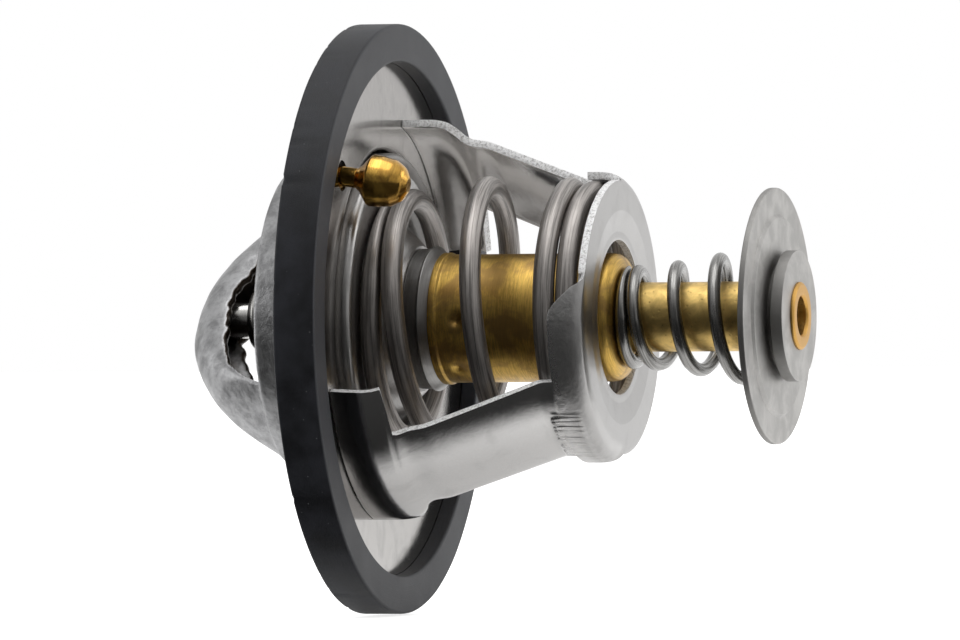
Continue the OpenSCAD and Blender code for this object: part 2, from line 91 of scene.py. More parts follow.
def length(name, description, default):
    return number(name, description, default, unit="LENGTH", subtype="DISTANCE", precision=5)


def angle(name, description, degrees):
    return number(name, description, math.radians(degrees), unit="ROTATION", subtype="ANGLE")


def tint(name, description, default):
    return FloatVectorProperty(
        name=name, description=description, default=default, subtype="COLOR", min=0, max=1
    )


class StageSettings(bpy.types.PropertyGroup):
    focal_length: number("Focal length", "Lens of the camera, in mm", 444.68)
    distance: length("Distance", "Distance from the camera to the part", 1.28633)
    azimuth: angle("Azimuth", "Camera's turn round the part", 17.031)
    roll: angle("Roll", "Camera's lean", 0.4376)
    aim: FloatVectorProperty(
        name="Aim", description="Point that the camera looks at", default=(0.01021, 0.00237, -0.00018),
        subtype="TRANSLATION", unit="LENGTH"
    )
    floor_colour: tint("Floor colour", "Colour of the floor", (0.9, 0.9, 0.9))
    top_light: number("Top light", "Power of the light overhead", 4.0, unit="POWER")
    side_light: number("Side light", "Power of each light beside", 1.6, unit="POWER")


class GasketSettings(bpy.types.PropertyGroup):
    diameter: length("Diameter", "Outside diameter of the gasket", cad_length("rubber_gasket", 1))
    width: length("Width", "Width of the gasket along the axis", cad_length("rubber_gasket", 0))
    lip_diameter: length("Lip diameter", "Diameter inside the two lips", 0.0558)
    corner: length("Corner", "Radius of the outer corners", 0.00035)
    colour: tint("Rubber", "Colour of the rubber", (0.010, 0.0108, 0.0145))


class FlangeSettings(bpy.types.PropertyGroup):
    diameter: length("Diameter", "Diameter of the flange plate", cad_length("flange_bridge", 1))
    thickness: length("Thickness", "Thickness of the sheet", 0.001)
    crest_radius: length("Crest radius", "Outside radius at the crest of the seat wall", 0.0165)
    crest_place: length("Crest place", "Place of the crest along the axis", -0.0091)
    crest_spare: length("Crest spare", "Length added at the crest, which smoothing takes off", 0.00045)
    crown_place: length("Crown place", "Place of the bridge's crown along the axis", -0.0209)
    crown_half: length("Crown half width", "Half width of the bridge at its crown", 0.0035)
    crown_depth: length("Crown depth", "Depth of the rolled sides at the crown", 0.0057)
    foot_half: length("Foot half width", "Half width of an arm at its foot", 0.0059)
    foot_depth: length("Foot depth", "Depth of the rolled sides at a foot", 0.0009)
    bridge_angle: angle("Bridge angle", "Angle of the bridge about the axis", 43)
    colour: tint("Steel", "Colour of the stainless sheet", (0.37, 0.355, 0.34))
    dull_colour: tint("Drawn steel", "Colour of the drawn bridge", (0.39, 0.39, 0.395))


class LowerFrameSettings(bpy.types.PropertyGroup):
    thickness: length("Thickness", "Thickness of the sheet", 0.0008)
    foot_radius: length("Foot radius", "Outside radius of the feet", 0.0224)
    foot_width: length("Foot width", "Width of a foot at the flange", 0.0208)
    shoulder_radius: length("Shoulder radius", "Outside radius of the shoulders", 0.0207)
    leg_width: length("Leg width", "Width of a leg", 0.0122)
    skirt_length: length("Skirt length", "Length of the cup's skirt", 0.0038)
    cup_radius: length("Cup radius", "Outside radius of the end cup", 0.0157)
    cup_face: length("Cup face", "Place of the cup's outer face along the axis", 0.027)
    hole_radius: length("Hole radius", "Radius of the hole in the cup", 0.00835)
    leg_angle: angle("Leg angle", "Angle of the legs about the axis", 50)
    colour: tint("Steel", "Colour of the polished sheet", (0.62, 0.61, 0.6))


class ElementSettings(bpy.types.PropertyGroup):
    case_radius: length("Case radius", "Radius of the brass case", 0.00695)
    case_end: length("Case end", "Place of the case's end along the axis", 0.0275)
    brass: tint("Case brass", "Colour of the case", (0.62, 0.4, 0.1))
    tarnish: tint("Tarnish", "Colour of the tarnish on the case", (0.33, 0.2, 0.07))
    valve_colour: tint("Valve steel", "Colour of the main valve", (0.42, 0.41, 0.4))
    guide_colour: tint("Guide steel", "Colour of the guide", (0.5, 0.49, 0.47))
    piston_colour: tint("Piston steel", "Colour of the piston", (0.56, 0.55, 0.53))


class BypassSettings(bpy.types.PropertyGroup):
    stem_radius: length("Stem radius", "Radius of the stem", 0.00375)
    stem_end: length("Stem end", "Place of the stem's end along the axis", 0.0472)
    disc_radius: length("Disc radius", "Radius of the bypass disc", cad_length("bypass_disc", 1) / 2)
    brass: tint("Stem brass", "Colour of the stem", (0.7, 0.49, 0.17))
    steel: tint("Disc steel", "Colour of the disc and washer", (0.46, 0.45, 0.435))


class SpringSettings(bpy.types.PropertyGroup):
    main_wire: length("Main wire", "Wire diameter of the main spring", 0.00235)
    bypass_wire: length("Bypass wire", "Wire diameter of the bypass spring", 0.00145)
    main_turns: number("Main turns", "Turns of the main spring", 4.15)
    bypass_turns: number("Bypass turns", "Turns of the bypass spring", 4.46)
    sides: IntProperty(name="Sides", description="Sides of a wire's section", default=20, min=6)
    colour: tint("Main spring", "Colour of the main spring", (0.36, 0.337, 0.32))
    bypass_colour: tint("Bypass spring", "Colour of the bypass spring", (0.3, 0.295, 0.285))


class JiggleSettings(bpy.types.PropertyGroup):
    radius: length("Circle", "Distance of the pin from the axis", 0.0222)
    angle: angle("Angle", "Angle of the pin about the axis", 136)
    droop: angle("Droop", "Droop of the loose pin in its hole", 8)
    colour: tint("Pin brass", "Colour of the pin", (0.85, 0.51, 0.11))
    tarnish: tint("Tarnish", "Colour of the tarnish on the pin", (0.42, 0.22, 0.05))


# Meshes


def place(radius, along, turn):
    """The point at a distance from the axis, a place along it and an angle round it."""
    return Vector((along, radius * math.cos(turn), radius * math.sin(turn)))


def rounded(corners, closed=True, steps=4):
    """The outline through corners of [radius, place, fillet], with each corner rounded."""
    points, count = [], len(corners)
    for i, (radius, along, fillet) in enumerate(corners):
        here = Vector((radius, along))
        if fillet <= 0 or not (closed or 0 < i < count - 1):
            points.append(here)
            continue
        before = Vector(corners[i - 1][:2]) - here
        after = Vector(corners[(i + 1) % count][:2]) - here
        reach = fillet / math.tan(before.angle(after) / 2)
        a = here + before.normalized() * min(reach, before.length * 0.49)
        b = here + after.normalized() * min(reach, after.length * 0.49)
        for k in range(steps + 1):
            t = k / steps
            points.append(a * (1 - t) ** 2 + here * 2 * t * (1 - t) + b * t * t)
    return points


def skin(name, rows, closed_rows=False, closed_columns=False, ends=False):
    """A piece whose mesh runs through rows of points."""
    count, width = len(rows), len(rows[0])
    faces = []
    for i in range(count if closed_rows else count - 1):
        here, above = i * width, (i + 1) % count * width
        for j in range(width if closed_columns else width - 1):
            k = (j + 1) % width
            faces.append((here + j, here + k, above + k, above + j))
    if ends:
        faces += [tuple(range(width)), tuple(range((count - 1) * width, count * width))[::-1]]
    return piece(name, [p for row in rows for p in row], faces)


def piece(name, points, faces):
    """An object of its own with smooth, closed, outward faces."""
    mesh = bpy.data.meshes.new(name)
    mesh.from_pydata([tuple(p) for p in points], [], faces)
    shape = bmesh.new()
    shape.from_mesh(mesh)
    bmesh.ops.remove_doubles(shape, verts=shape.verts, dist=1e-7)
    bmesh.ops.recalc_face_normals(shape, faces=shape.faces)
    shape.to_mesh(mesh)
    shape.free()
    mesh.shade_smooth()
    made = bpy.data.objects.new(name, mesh)
    bpy.context.scene.collection.objects.link(made)
    return made


def turned(name, corners, segments, closed=True, steps=4):
    """A piece turned about the axis from an outline's corners."""
    turns = [math.tau * j / segments for j in range(segments)]
    rows = [[place(r * MM, x * MM, t) for t in turns] for r, x in rounded(corners, closed, steps)]
    return skin(name, rows, closed_rows=closed, closed_columns=True)


def block(name, outline, start, end, steps=10):
    """A part of a turn of an outline in millimetres, closed at both ends."""
    turns = [start + (end - start) * i / steps for i in range(steps + 1)]
    rows = [[place(r * MM, x * MM, t) for r, x in outline] for t in turns]
    return skin(name, rows, closed_columns=True, ends=True)


def modify(made, kind, **settings):
    """Adds a modifier to a piece."""
    modifier = made.modifiers.new(kind.title(), kind)
    for key, value in settings.items():
        setattr(modifier, key, value)


def flatten(made):
    """Applies a piece's modifiers."""
    graph = bpy.context.evaluated_depsgraph_get()
    mesh = bpy.data.meshes.new_from_object(made.evaluated_get(graph))
    made.modifiers.clear()
    made.data = mesh


def even_shading(made):
    """Keeps flats flat beside small fillets."""
    modify(made, "WEIGHTED_NORMAL", weight=80, keep_sharp=True)


def join(name, parts):
    """Several pieces as one mesh."""
    points, faces = [], []
    for part in parts:
        start = len(points)
        points += [v.co.copy() for v in part.data.vertices]
        faces += [tuple(start + i for i in face.vertices) for face in part.data.polygons]
        bpy.data.objects.remove(part)
    return piece(name, points, faces)


def push(made, amount):
    """Moves each point along its normal by amount(point), in metres."""
    moves = [v.normal * amount(v.co) for v in made.data.vertices]
    for vertex, move in zip(made.data.vertices, moves):
        vertex.co += move
    made.data.update()


def ramp(value, low, high):
    """0 below low, 1 above high and straight between."""
    return min(1, max(0, (value - low) / (high - low)))


def swell(point, grain, seed):
    """Smooth noise from -1 to 1 whose lumps are about grain metres wide."""
    return noise.noise(Vector(point) / grain + Vector((seed, seed * 1.7, -seed)))


def settle(made, body, slot, finishes, *nodes):
    """Gives a piece its materials and body, and hides the CAD nodes that it stands for; its slot is
    not used.
    """
    slots = made.data.materials
    while len(slots) < len(finishes):
        slots.append(None)
    for i, finish in enumerate(finishes):
        slots[i] = finish
    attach(made, body)
    if nodes:
        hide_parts(*nodes)


def dress(made, body, slot, finish, *nodes):
    """Settles a piece of one material, with even shading."""
    even_shading(made)
    settle(made, body, slot, [finish], *nodes)


# Materials


class Value:
    """A number in a material's tree. Arithmetic on it adds Math nodes."""

    def __init__(self, finish, socket):
        self.finish = finish
        self.socket = socket

    def math(self, operation, *values):
        node = self.finish.node("Math", {"operation": operation}, dict(enumerate(values)))
        return Value(self.finish, node.outputs[0])

    def __add__(self, other):
        return self.math("ADD", self, other)

    __radd__ = __add__

    def __sub__(self, other):
        return self.math("SUBTRACT", self, other)

    def __rsub__(self, other):
        return self.math("SUBTRACT", other, self)

    def __mul__(self, other):
        return self.math("MULTIPLY", self, other)

    __rmul__ = __mul__

    def __truediv__(self, other):
        return self.math("DIVIDE", self, other)

    def __abs__(self):
        return self.math("ABSOLUTE", self)

    def root(self):
        return self.math("SQRT", self)

    def most(self, other):
        """The greater of two numbers."""
        return self.math("MAXIMUM", self, other)

    def step(self, low, high):
        """0 below low, 1 above high and smooth between."""
        ends = {"Value": self, "From Min": low, "From Max": high}
        node = self.finish.node("MapRange", {"interpolation_type": "SMOOTHSTEP"}, ends)
        return Value(self.finish, node.outputs["Result"])

    def band(self, low, high, soft):
        """1 between low and high, with soft edges."""
        return self.step(low - soft, low + soft) * (1 - self.step(high - soft, high + soft))


class Finish:
    """A material and the nodes that make it. In its mixes a number stands for a shade of its own
    colour."""

    def __init__(self, name, colour=None):
        self.own = colour
        self.material = bpy.data.materials.new(name)
        self.material.use_nodes = True
        self.tree = self.material.node_tree
        self.tree.nodes.clear()
        self.mm = self.scaled(self.node("TexCoord").outputs["Object"], (1 / MM,) * 3)
        self.x, self.y, self.z = self.parts(self.mm)

    def node(self, kind, settings=None, inputs=None):
        """Adds a node: its type, its settings, then the values or links of its sockets."""
        node = self.tree.nodes.new("ShaderNode" + kind)
        for key, value in (settings or {}).items():
            setattr(node, key, value)
        for key, value in (inputs or {}).items():
            source = value.socket if isinstance(value, Value) else value
            if isinstance(source, bpy.types.NodeSocket):
                self.tree.links.new(source, node.inputs[key])
            else:
                node.inputs[key].default_value = source
        return node

    def scaled(self, vector, by):
        """A vector with each of its parts multiplied."""
        return self.node("VectorMath", {"operation": "MULTIPLY"}, {0: vector, 1: by}).outputs[0]

    def vector(self, x, y, z):
        return self.node("CombineXYZ", {}, {"X": x, "Y": y, "Z": z}).outputs[0]

    def parts(self, vector):
        """The three numbers of a vector."""
        node = self.node("SeparateXYZ", {}, {"Vector": vector})
        return [Value(self, node.outputs[k]) for k in "XYZ"]

    def radius(self):
        """Distance from the axis, in millimetres."""
        return (self.y * self.y + self.z * self.z).root()

    def facing(self):
        """How far the surface faces along the axis, from -1 to 1."""
        return self.parts(self.node("NewGeometry").outputs["Normal"])[0]

    def grain(self, scale, detail=3.0, roughness=0.55, distortion=0.0, way=None):
        """Noise from 0 to 1, in millimetres unless a way is given."""
        inputs = {"Vector": self.mm if way is None else way, "Scale": scale, "Detail": detail}
        more = {"Roughness": roughness, "Distortion": distortion}
        node = self.node("TexNoise", {"noise_dimensions": "3D"}, {**inputs, **more})
        return Value(self, node.outputs[0])

    def turned_grain(self, along, across, around, *detail):
        """Noise with a fineness of its own along the axis, across it and round it."""
        radius = self.radius() + 0.001
        way = self.vector(
            self.x * along, radius * across + self.y / radius * around, self.z / radius * around
        )
        return self.grain(1.0, *detail, way=way)

    def dots(self, scale, core, rim):
        """Scattered round spots: 1 within the core and 0 past the rim."""
        node = self.node("TexVoronoi", {}, {"Vector": self.mm, "Scale": scale})
        return 1 - Value(self, node.outputs["Distance"]).step(core, rim)

    def mix(self, factor, a, b):
        """A colour between a and b."""
        ends = {6: self.paint(a), 7: self.paint(b)}
        return self.node("Mix", {"data_type": "RGBA"}, {0: factor, **ends}).outputs[2]

    def paint(self, value):
        """A colour as its socket takes it."""
        if isinstance(value, bpy.types.NodeSocket):
            return value
        return (*(shade(self.own, value) if isinstance(value, float) else value), 1.0)

    def layers(self, base, *coats):
        """A colour with coats of [how much, colour] laid over it in turn."""
        for factor, coat in coats:
            base = self.mix(factor, base, coat)
        return base

    def bumps(self, *waves):
        """A normal bumped by waves of [height from 0 to 1, depth in millimetres, strength]."""
        normal = None
        for height, depth, strength in waves:
            below = {} if normal is None else {"Normal": normal}
            inputs = {"Height": height, "Distance": depth * MM, "Strength": strength, **below}
            normal = self.node("Bump", {}, inputs).outputs[0]
        return normal

    def surface(self, base, rough, normal, metallic=1.0, **more):
        """Ends the tree in a Principled shader."""
        inputs = {"Base Color": base, "Roughness": rough, "Normal": normal, "Metallic": metallic}
        shader = self.node("BsdfPrincipled", {}, {**inputs, **more})
        self.node("OutputMaterial", {}, {"Surface": shader.outputs[0]})
        return self.material


def shade(colour, by):
    """A colour made lighter or darker."""
    return tuple(min(1.0, c * by) for c in colour)


def rubber_finish(name, colour):
    """Dull black rubber with a little dust, and painted light that makes the side facing along the
    axis paler.
    """
    f = Finish(name, colour)
    fine = f.grain(9.0, 4.0, 0.7)
    broad = f.grain(0.22, 3.0)
    lines = f.turned_grain(5.0, 5.0, 3.0, 2.0)
    dust = f.dots(1.3, 0.03, 0.11) * f.grain(0.9, 1.0).step(0.5, 0.62)
    # The facing coat is painted light: faces that look along the axis are made paler.
    base = f.layers(
        0.6, (broad.step(0.3, 0.7), 1.4),
        (f.facing().step(0.4, 0.9), (0.036, 0.037, 0.042)), (dust * 0.55, (0.16, 0.165, 0.17)),
    )
    rough = 0.4 + broad * 0.14 + fine * 0.08 + dust * 0.2
    normal = f.bumps((fine, 0.035, 0.6), (lines, 0.03, 0.5))
    return f.surface(base, rough, normal, 0.0, **{"Specular IOR Level": 0.34})


def brushed_finish(name, colour, roughness, lines, depth, stain):
    """Metal with lines that run round the axis, soft stains and a fine grain."""
    f = Finish(name, colour)
    lines = f.turned_grain(*lines, 5.0, 0.75)
    fine = f.grain(14.0, 3.0, 0.7)
    broad = f.grain(0.28, 4.0, 0.6, 0.6)
    spots = f.dots(0.9, 0.02, 0.09) * f.grain(0.5, 1.0).step(0.52, 0.6)
    base = f.layers(
        0.84, (lines.step(0.3, 0.72), 1.12),
        (broad.step(0.45, 0.75) * stain, 0.55), (spots * 0.5, 0.35),
    )
    rough = roughness + (lines - 0.5) * 0.16 + broad.step(0.4, 0.8) * 0.12 + spots * 0.2
    return f.surface(base, rough, f.bumps((lines, depth, 0.7), (fine, depth * 0.5, 0.5)))


def rolled_finish(name, colour, drawn):
    """Bright sheet with the fine lines of its rolling, dull where the seat wall is drawn from it."""
    f = Finish(name, colour)
    lines = f.grain(1.0, 5.0, 0.75, way=f.vector(f.x * 2.0, f.y * 8.0, f.z * 0.45))
    fine = f.grain(14.0, 3.0, 0.7)
    broad = f.grain(0.25, 4.0, 0.6, 0.6)
    spots = f.dots(0.9, 0.02, 0.08) * f.grain(0.5, 1.0).step(0.52, 0.6)
    wall = 1 - f.x.step(-4.6, -1.2)
    base = f.layers(
        0.86, (lines.step(0.3, 0.72), 1.1),
        (broad.step(0.45, 0.75) * 0.45, 0.62), (spots * 0.5, 0.35),
        (wall, mottle(f, drawn)[0]),
    )
    rough = 0.11 + (lines - 0.5) * 0.1 + broad.step(0.4, 0.8) * 0.08 + spots * 0.2 + wall * 0.28
    return f.surface(base, rough, f.bumps((lines, 0.004, 0.6), (fine, 0.003, 0.5)))


def mottle(f, colour):
    """The skin of drawn steel: its colour, its broad patches and its pits."""
    broad = f.grain(0.5, 5.0, 0.62, 0.2)
    cloud = f.grain(0.9, 4.0, 0.6, 0.4)
    pits = f.dots(2.2, 0.05, 0.2)
    base = f.layers(
        shade(colour, 0.62), (broad.step(0.34, 0.66), shade(colour, 1.12)),
        (cloud.step(0.5, 0.8) * 0.5, shade(colour, 1.3)), (pits * 0.4, shade(colour, 0.4)),
    )
    return base, broad, pits


def drawn_finish(name, colour):
    """Sheet that a press has drawn: mottled, with a dull skin and soft waves, and painted dark brown
    shade on the faces under the bridge.
    """
    f = Finish(name, colour)
    base, broad, pits = mottle(f, colour)
    fine = f.grain(11.0, 4.0, 0.75)
    # Painted shade: the bridge's faces that look along the axis, under its arch, are made dark brown.
    inside = f.facing().step(0.05, 0.5) * (1 - f.x.step(-6.5, -5.0))
    base = f.mix(inside * 0.92, base, (0.035, 0.022, 0.012))
    rough = 0.28 + broad * 0.14 + fine * 0.1 + pits * 0.15
    return f.surface(base, rough, f.bumps((broad, 0.2, 0.7), (fine, 0.02, 0.7)))


def frame_finish(name, colour, cup_start):
    """Polished sheet with fine scratches, and press wrinkles where the legs run into the cup."""
    f = Finish(name, colour)
    lines = f.turned_grain(2.0, 2.0, 26.0, 4.0, 0.7)
    fine = f.grain(12.0, 4.0, 0.7)
    broad = f.grain(0.3, 4.0, 0.6, 0.5)
    nicks = f.dots(1.1, 0.02, 0.07) * f.grain(0.6, 1.0).step(0.5, 0.6)
    wrinkle = f.grain(1.0, 1.0, 0.4, 0.35, way=f.vector(0.0, f.z * 2.9, f.x * 0.25))
    near = f.x.band(cup_start - 0.8, cup_start + 2.3, 0.35) * (1 - f.z.step(-11.0, -10.0))
    near = near * f.radius().step(14.9, 15.4)
    matte = f.x.step(cup_start + 0.4, cup_start + 3.2)
    skirt = f.x.step(cup_start - 0.2, cup_start + 0.3)
    skirt = skirt * (1 - f.x.step(cup_start + 2.6, cup_start + 3.7))
    base = f.layers(
        0.92, (fine.step(0.35, 0.7), 1.08),
        (broad.step(0.5, 0.75) * 0.35, 0.72), (nicks * 0.6, 1.5),
        (skirt * f.grain(1.6, 4.0, 0.7).step(0.4, 0.65) * 0.45, 1.25),
        (matte * 0.6, 0.62),
    )
    rough = (
        0.11 + (lines - 0.5) * 0.08 + skirt * 0.16 + broad.step(0.4, 0.8) * 0.06 + matte * 0.2
        + near * 0.12
    )
    normal = f.bumps(
        (lines, 0.006, 0.6), (broad, 0.1, 0.35), (fine, 0.008, 0.5), (wrinkle * near, 0.42, 1.0),
        (f.grain(0.8, 3.0, 0.6) * skirt * (1 - near), 0.12, 0.8),
    )
    return f.surface(base, rough, normal)


def cut_finish(name, colour):
    """The bright torn edge of sheared sheet."""
    f = Finish(name, colour)
    torn = f.grain(3.4, 5.0, 0.8)
    fine = f.grain(15.0, 3.0, 0.7)
    base = f.mix(torn.step(0.36, 0.56), 0.8, 1.8)
    return f.surface(base, 0.4 + fine * 0.25, f.bumps((torn, 0.12, 0.9), (fine, 0.03, 0.7)), 0.3)


def wire_finish(name, colour, roughness, depth):
    """Drawn wire with lines along it."""
    f = Finish(name, colour)
    wire = f.node("Attribute", {"attribute_name": "wire"}).outputs["Vector"]
    lines = f.grain(1.0, 4.0, 0.7, way=f.scaled(wire, (0.12, 5.5, 5.5)))
    fine = f.grain(12.0, 4.0, 0.75)
    broad = f.grain(0.4, 3.0, 0.6)
    base = f.layers(
        0.55, (lines.step(0.36, 0.62), 1.3),
        (fine.step(0.55, 0.8) * 0.4, 1.5),
        (broad.step(0.5, 0.8) * 0.4, 0.7),
    )
    rough = roughness + (lines - 0.5) * 0.2 + fine * 0.1
    return f.surface(base, rough, f.bumps((lines, depth, 0.8), (fine, depth * 0.4, 0.6)))


def brass_finish(name, colour, tarnish, roughness, around, pits, depth):
    """Brass with turned lines, brown tarnish and small pits."""
    f = Finish(name, colour)
    lines = f.turned_grain(8.0, 8.0, around, 5.0, 0.75)
    broad = f.turned_grain(0.35, 0.35, 2.2, 4.0, 0.6, 0.5)
    fine = f.grain(10.0, 4.0, 0.75)
    holes = f.dots(1.7, 0.06, 0.2) * pits
    base = f.layers(
        0.7, (lines.step(0.36, 0.64), 1.15),
        (broad.step(0.42, 0.62) * 0.8, tarnish), (holes, shade(tarnish, 0.5)),
    )
    rough = roughness + (lines - 0.5) * 0.15 + broad * 0.1 + holes * 0.3
    normal = f.bumps((lines, depth, 0.7), (fine, depth * 0.8, 0.5), (1 - holes, 0.05, 0.6))
    return f.surface(base, rough, normal)


def stem_finish(name, colour, end):
    """Pitted yellow brass, orange where the end was riveted over."""
    f = Finish(name, colour)
    pits = f.dots(1.5, 0.05, 0.26)
    lines = f.turned_grain(5.0, 5.0, 2.5, 4.0, 0.7)
    broad = f.grain(0.5, 4.0, 0.6, 0.6)
    fine = f.grain(9.0, 4.0, 0.75)
    base = f.layers(
        0.72, (broad.step(0.35, 0.7), 1.2),
        (pits * fine.step(0.4, 0.6) * 0.6, 0.35),
        (f.x.step(end - 0.6, end - 0.3), (0.62, 0.36, 0.1)),
    )
    rough = 0.34 + fine * 0.14 + pits * 0.12
    normal = f.bumps((lines, 0.012, 0.6), (1 - pits, 0.03, 0.6), (fine, 0.02, 0.6))
    return f.surface(base, rough, normal)


def plate_finish(name, colour):
    """Matte grey plate with painted shade that darkens its edges and the faces that do not look along
    the axis.
    """
    f = Finish(name, colour)
    fine = f.grain(9.0, 4.0, 0.75)
    broad = f.grain(0.3, 4.0, 0.6, 0.5)
    lines = f.turned_grain(6.0, 6.0, 3.0, 4.0, 0.7)
    # Painted shade: the edges and the faces that do not look along the axis are darkened.
    edge = 1 - f.facing().step(0.2, 0.7)
    base = f.layers(
        0.86, (broad.step(0.35, 0.7), 1.12),
        (edge * 0.6, 0.5),
    )
    rough = 0.42 + fine * 0.1 + edge * 0.1
    return f.surface(base, rough, f.bumps((lines, 0.008, 0.5), (fine, 0.015, 0.6)))


def plain_finish(name, colour, roughness):
    """Dull moulded or cast stuff, for the pieces inside the case."""
    f = Finish(name, colour)
    fine = f.grain(6.0, 4.0, 0.7)
    base = f.mix(f.grain(0.6, 3.0), 0.8, 1.15)
    return f.surface(base, roughness + fine * 0.15, f.bumps((fine, 0.02, 0.5)), 0.0)


# Pieces


class THERMOSTAT_OT_stage(bpy.types.Operator):
    """Sets the floor, the background, the soft lights and the camera"""

    bl_idname = "thermostat.stage"
    bl_label = "Stage"

    def execute(self, context):
        s = context.scene.thermostat_stage
        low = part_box("rubber_gasket")[0][2] - 0.0002
        corners = [(x, y, low) for x, y in ((-6, -6), (6, -6), (6, 6), (-6, 6))]
        floor = piece("floor", corners, [(0, 1, 2, 3)])
        floor.data.materials.append(self.floor_material(s.floor_colour))
        self.background(context.scene)
        self.lamp("top_light", (0.0, -0.1, 1.1), (0, 0, 0), 1.0, s.top_light)
        self.lamp("left_light", (-1.1, -0.15, 0.35), (0, 0, 0), 0.6, s.side_light)
        self.lamp("right_light", (1.0, 0.45, 0.5), (0, 0, 0), 0.6, s.side_light)
        self.camera(context.scene, s)
        context.scene.view_settings.view_transform = "Standard"
        return {"FINISHED"}

    def floor_material(self, colour):
        """White paper that the metal sees as dark, apart from a strip near the part."""
        f = Finish("floor_paper", colour)
        path = f.node("LightPath")
        metal = Value(f, path.outputs["Is Glossy Ray"]) + Value(f, path.outputs["Is Transmission Ray"])
        table = f.y.step(-22, -12)
        seen = Value(f, path.outputs["Is Camera Ray"]) * 0.75 + metal * table * 0.35
        paper = f.grain(0.05, 2.0)
        base = f.mix(paper * 0.05, 1.0, 0.96)
        base = f.mix(1 - metal * (0.95 - table * 0.9), (0, 0, 0), base)
        diffuse = f.node("BsdfDiffuse", {}, {"Color": base})
        glow = f.node("Emission", {}, {"Color": (1, 1, 1, 1), "Strength": seen})
        both = f.node("AddShader", {}, {0: diffuse.outputs[0], 1: glow.outputs[0]})
        f.node("OutputMaterial", {}, {"Surface": both.outputs[0]})
        return f.material

    def background(self, scene):
        """White to the camera, and a studio with a dark side behind the camera to the metal."""
        world = bpy.data.worlds.new("studio")
        world.use_nodes = True
        scene.world = world
        f = Finish("studio")
        bpy.data.materials.remove(f.material)
        f.tree = world.node_tree
        f.tree.nodes.clear()
        x, y, z = f.parts(f.node("TexCoord").outputs["Generated"])
        path = f.node("LightPath")
        camera = Value(f, path.outputs["Is Camera Ray"])
        diffuse = Value(f, path.outputs["Is Diffuse Ray"])
        behind = y.step(0.0, 0.8)
        above = z.step(0.3, 0.9)
        beside = abs(x).step(0.55, 0.9)
        studio = (0.14 + (behind * 0.78).most(above * 0.75)).most(beside * 0.6)
        strength = camera + diffuse * 0.75 + (1 - camera - diffuse) * studio
        light = f.node("Background", {}, {"Color": (1, 1, 1, 1), "Strength": strength})
        f.node("OutputWorld", {}, {"Surface": light.outputs[0]})

    def lamp(self, name, at, aim, size, power):
        data = bpy.data.lights.new(name, "AREA")
        data.shape, data.size, data.energy = "DISK", size, power
        lamp = bpy.data.objects.new(name, data)
        lamp.location = at
        lamp.rotation_mode = "QUATERNION"
        lamp.rotation_quaternion = (Vector(aim) - Vector(at)).to_track_quat("-Z", "Y")
        bpy.context.scene.collection.objects.link(lamp)

    def camera(self, scene, s):
        data = bpy.data.cameras.new("camera")
        data.lens, data.sensor_width, data.sensor_fit = s.focal_length, 36, "AUTO"
        data.clip_start, data.clip_end = 0.05, 30
        camera = bpy.data.objects.new("camera", data)
        level = Vector((math.cos(s.azimuth), math.sin(s.azimuth), 0))
        back = Vector((math.sin(s.azimuth), -math.cos(s.azimuth), 0))
        up = Vector((0, 0, 1))
        right = level * math.cos(s.roll) - up * math.sin(s.roll)
        head = up * math.cos(s.roll) + level * math.sin(s.roll)
        at = Vector(s.aim) + back * s.distance
        camera.matrix_world = Matrix((right, head, back)).transposed().to_4x4()
        camera.location = at
        scene.collection.objects.link(camera)
        scene.camera = camera


class THERMOSTAT_OT_gasket(bpy.types.Operator):
    """Builds the rubber gasket, with the nicks on its rim"""

    bl_idname = "thermostat.gasket"
    bl_label = "Gasket"

    def execute(self, context):
        s = context.scene.thermostat_gasket
        outer, half, lip = s.diameter / 2 / MM, s.width / 2 / MM, s.lip_diameter / 2 / MM
        corner = s.corner / MM
        groove = cad_length("flange_bridge", 1) / 2 / MM + 0.05
        gasket = turned("gasket", [
            [groove, 0.5, 0.05], [lip, 0.5, 0.12], [lip, half, corner], [outer, half, corner],
            [outer, 0.0, 0], [outer, -half, corner], [lip, -half, corner], [lip, -0.5, 0.12],
            [groove, -0.5, 0.05],
        ], 420)

        def nick(point):
            rim = ramp(point.yz.length, 31.3 * MM, 31.8 * MM)
            back = ramp(-point.x, 1.5 * MM, 2.1 * MM)
            torn = max(0.0, swell(point, 1.1 * MM, 3.1) - 0.42)
            return -torn * rim * back * 0.9 * MM + swell(point, 6 * MM, 1.0) * 0.03 * MM

        push(gasket, nick)
        finish = rubber_finish("gasket_rubber", s.colour)
        dress(gasket, "frame", "gasket_rubber", finish, "rubber_gasket")
        return {"FINISHED"}


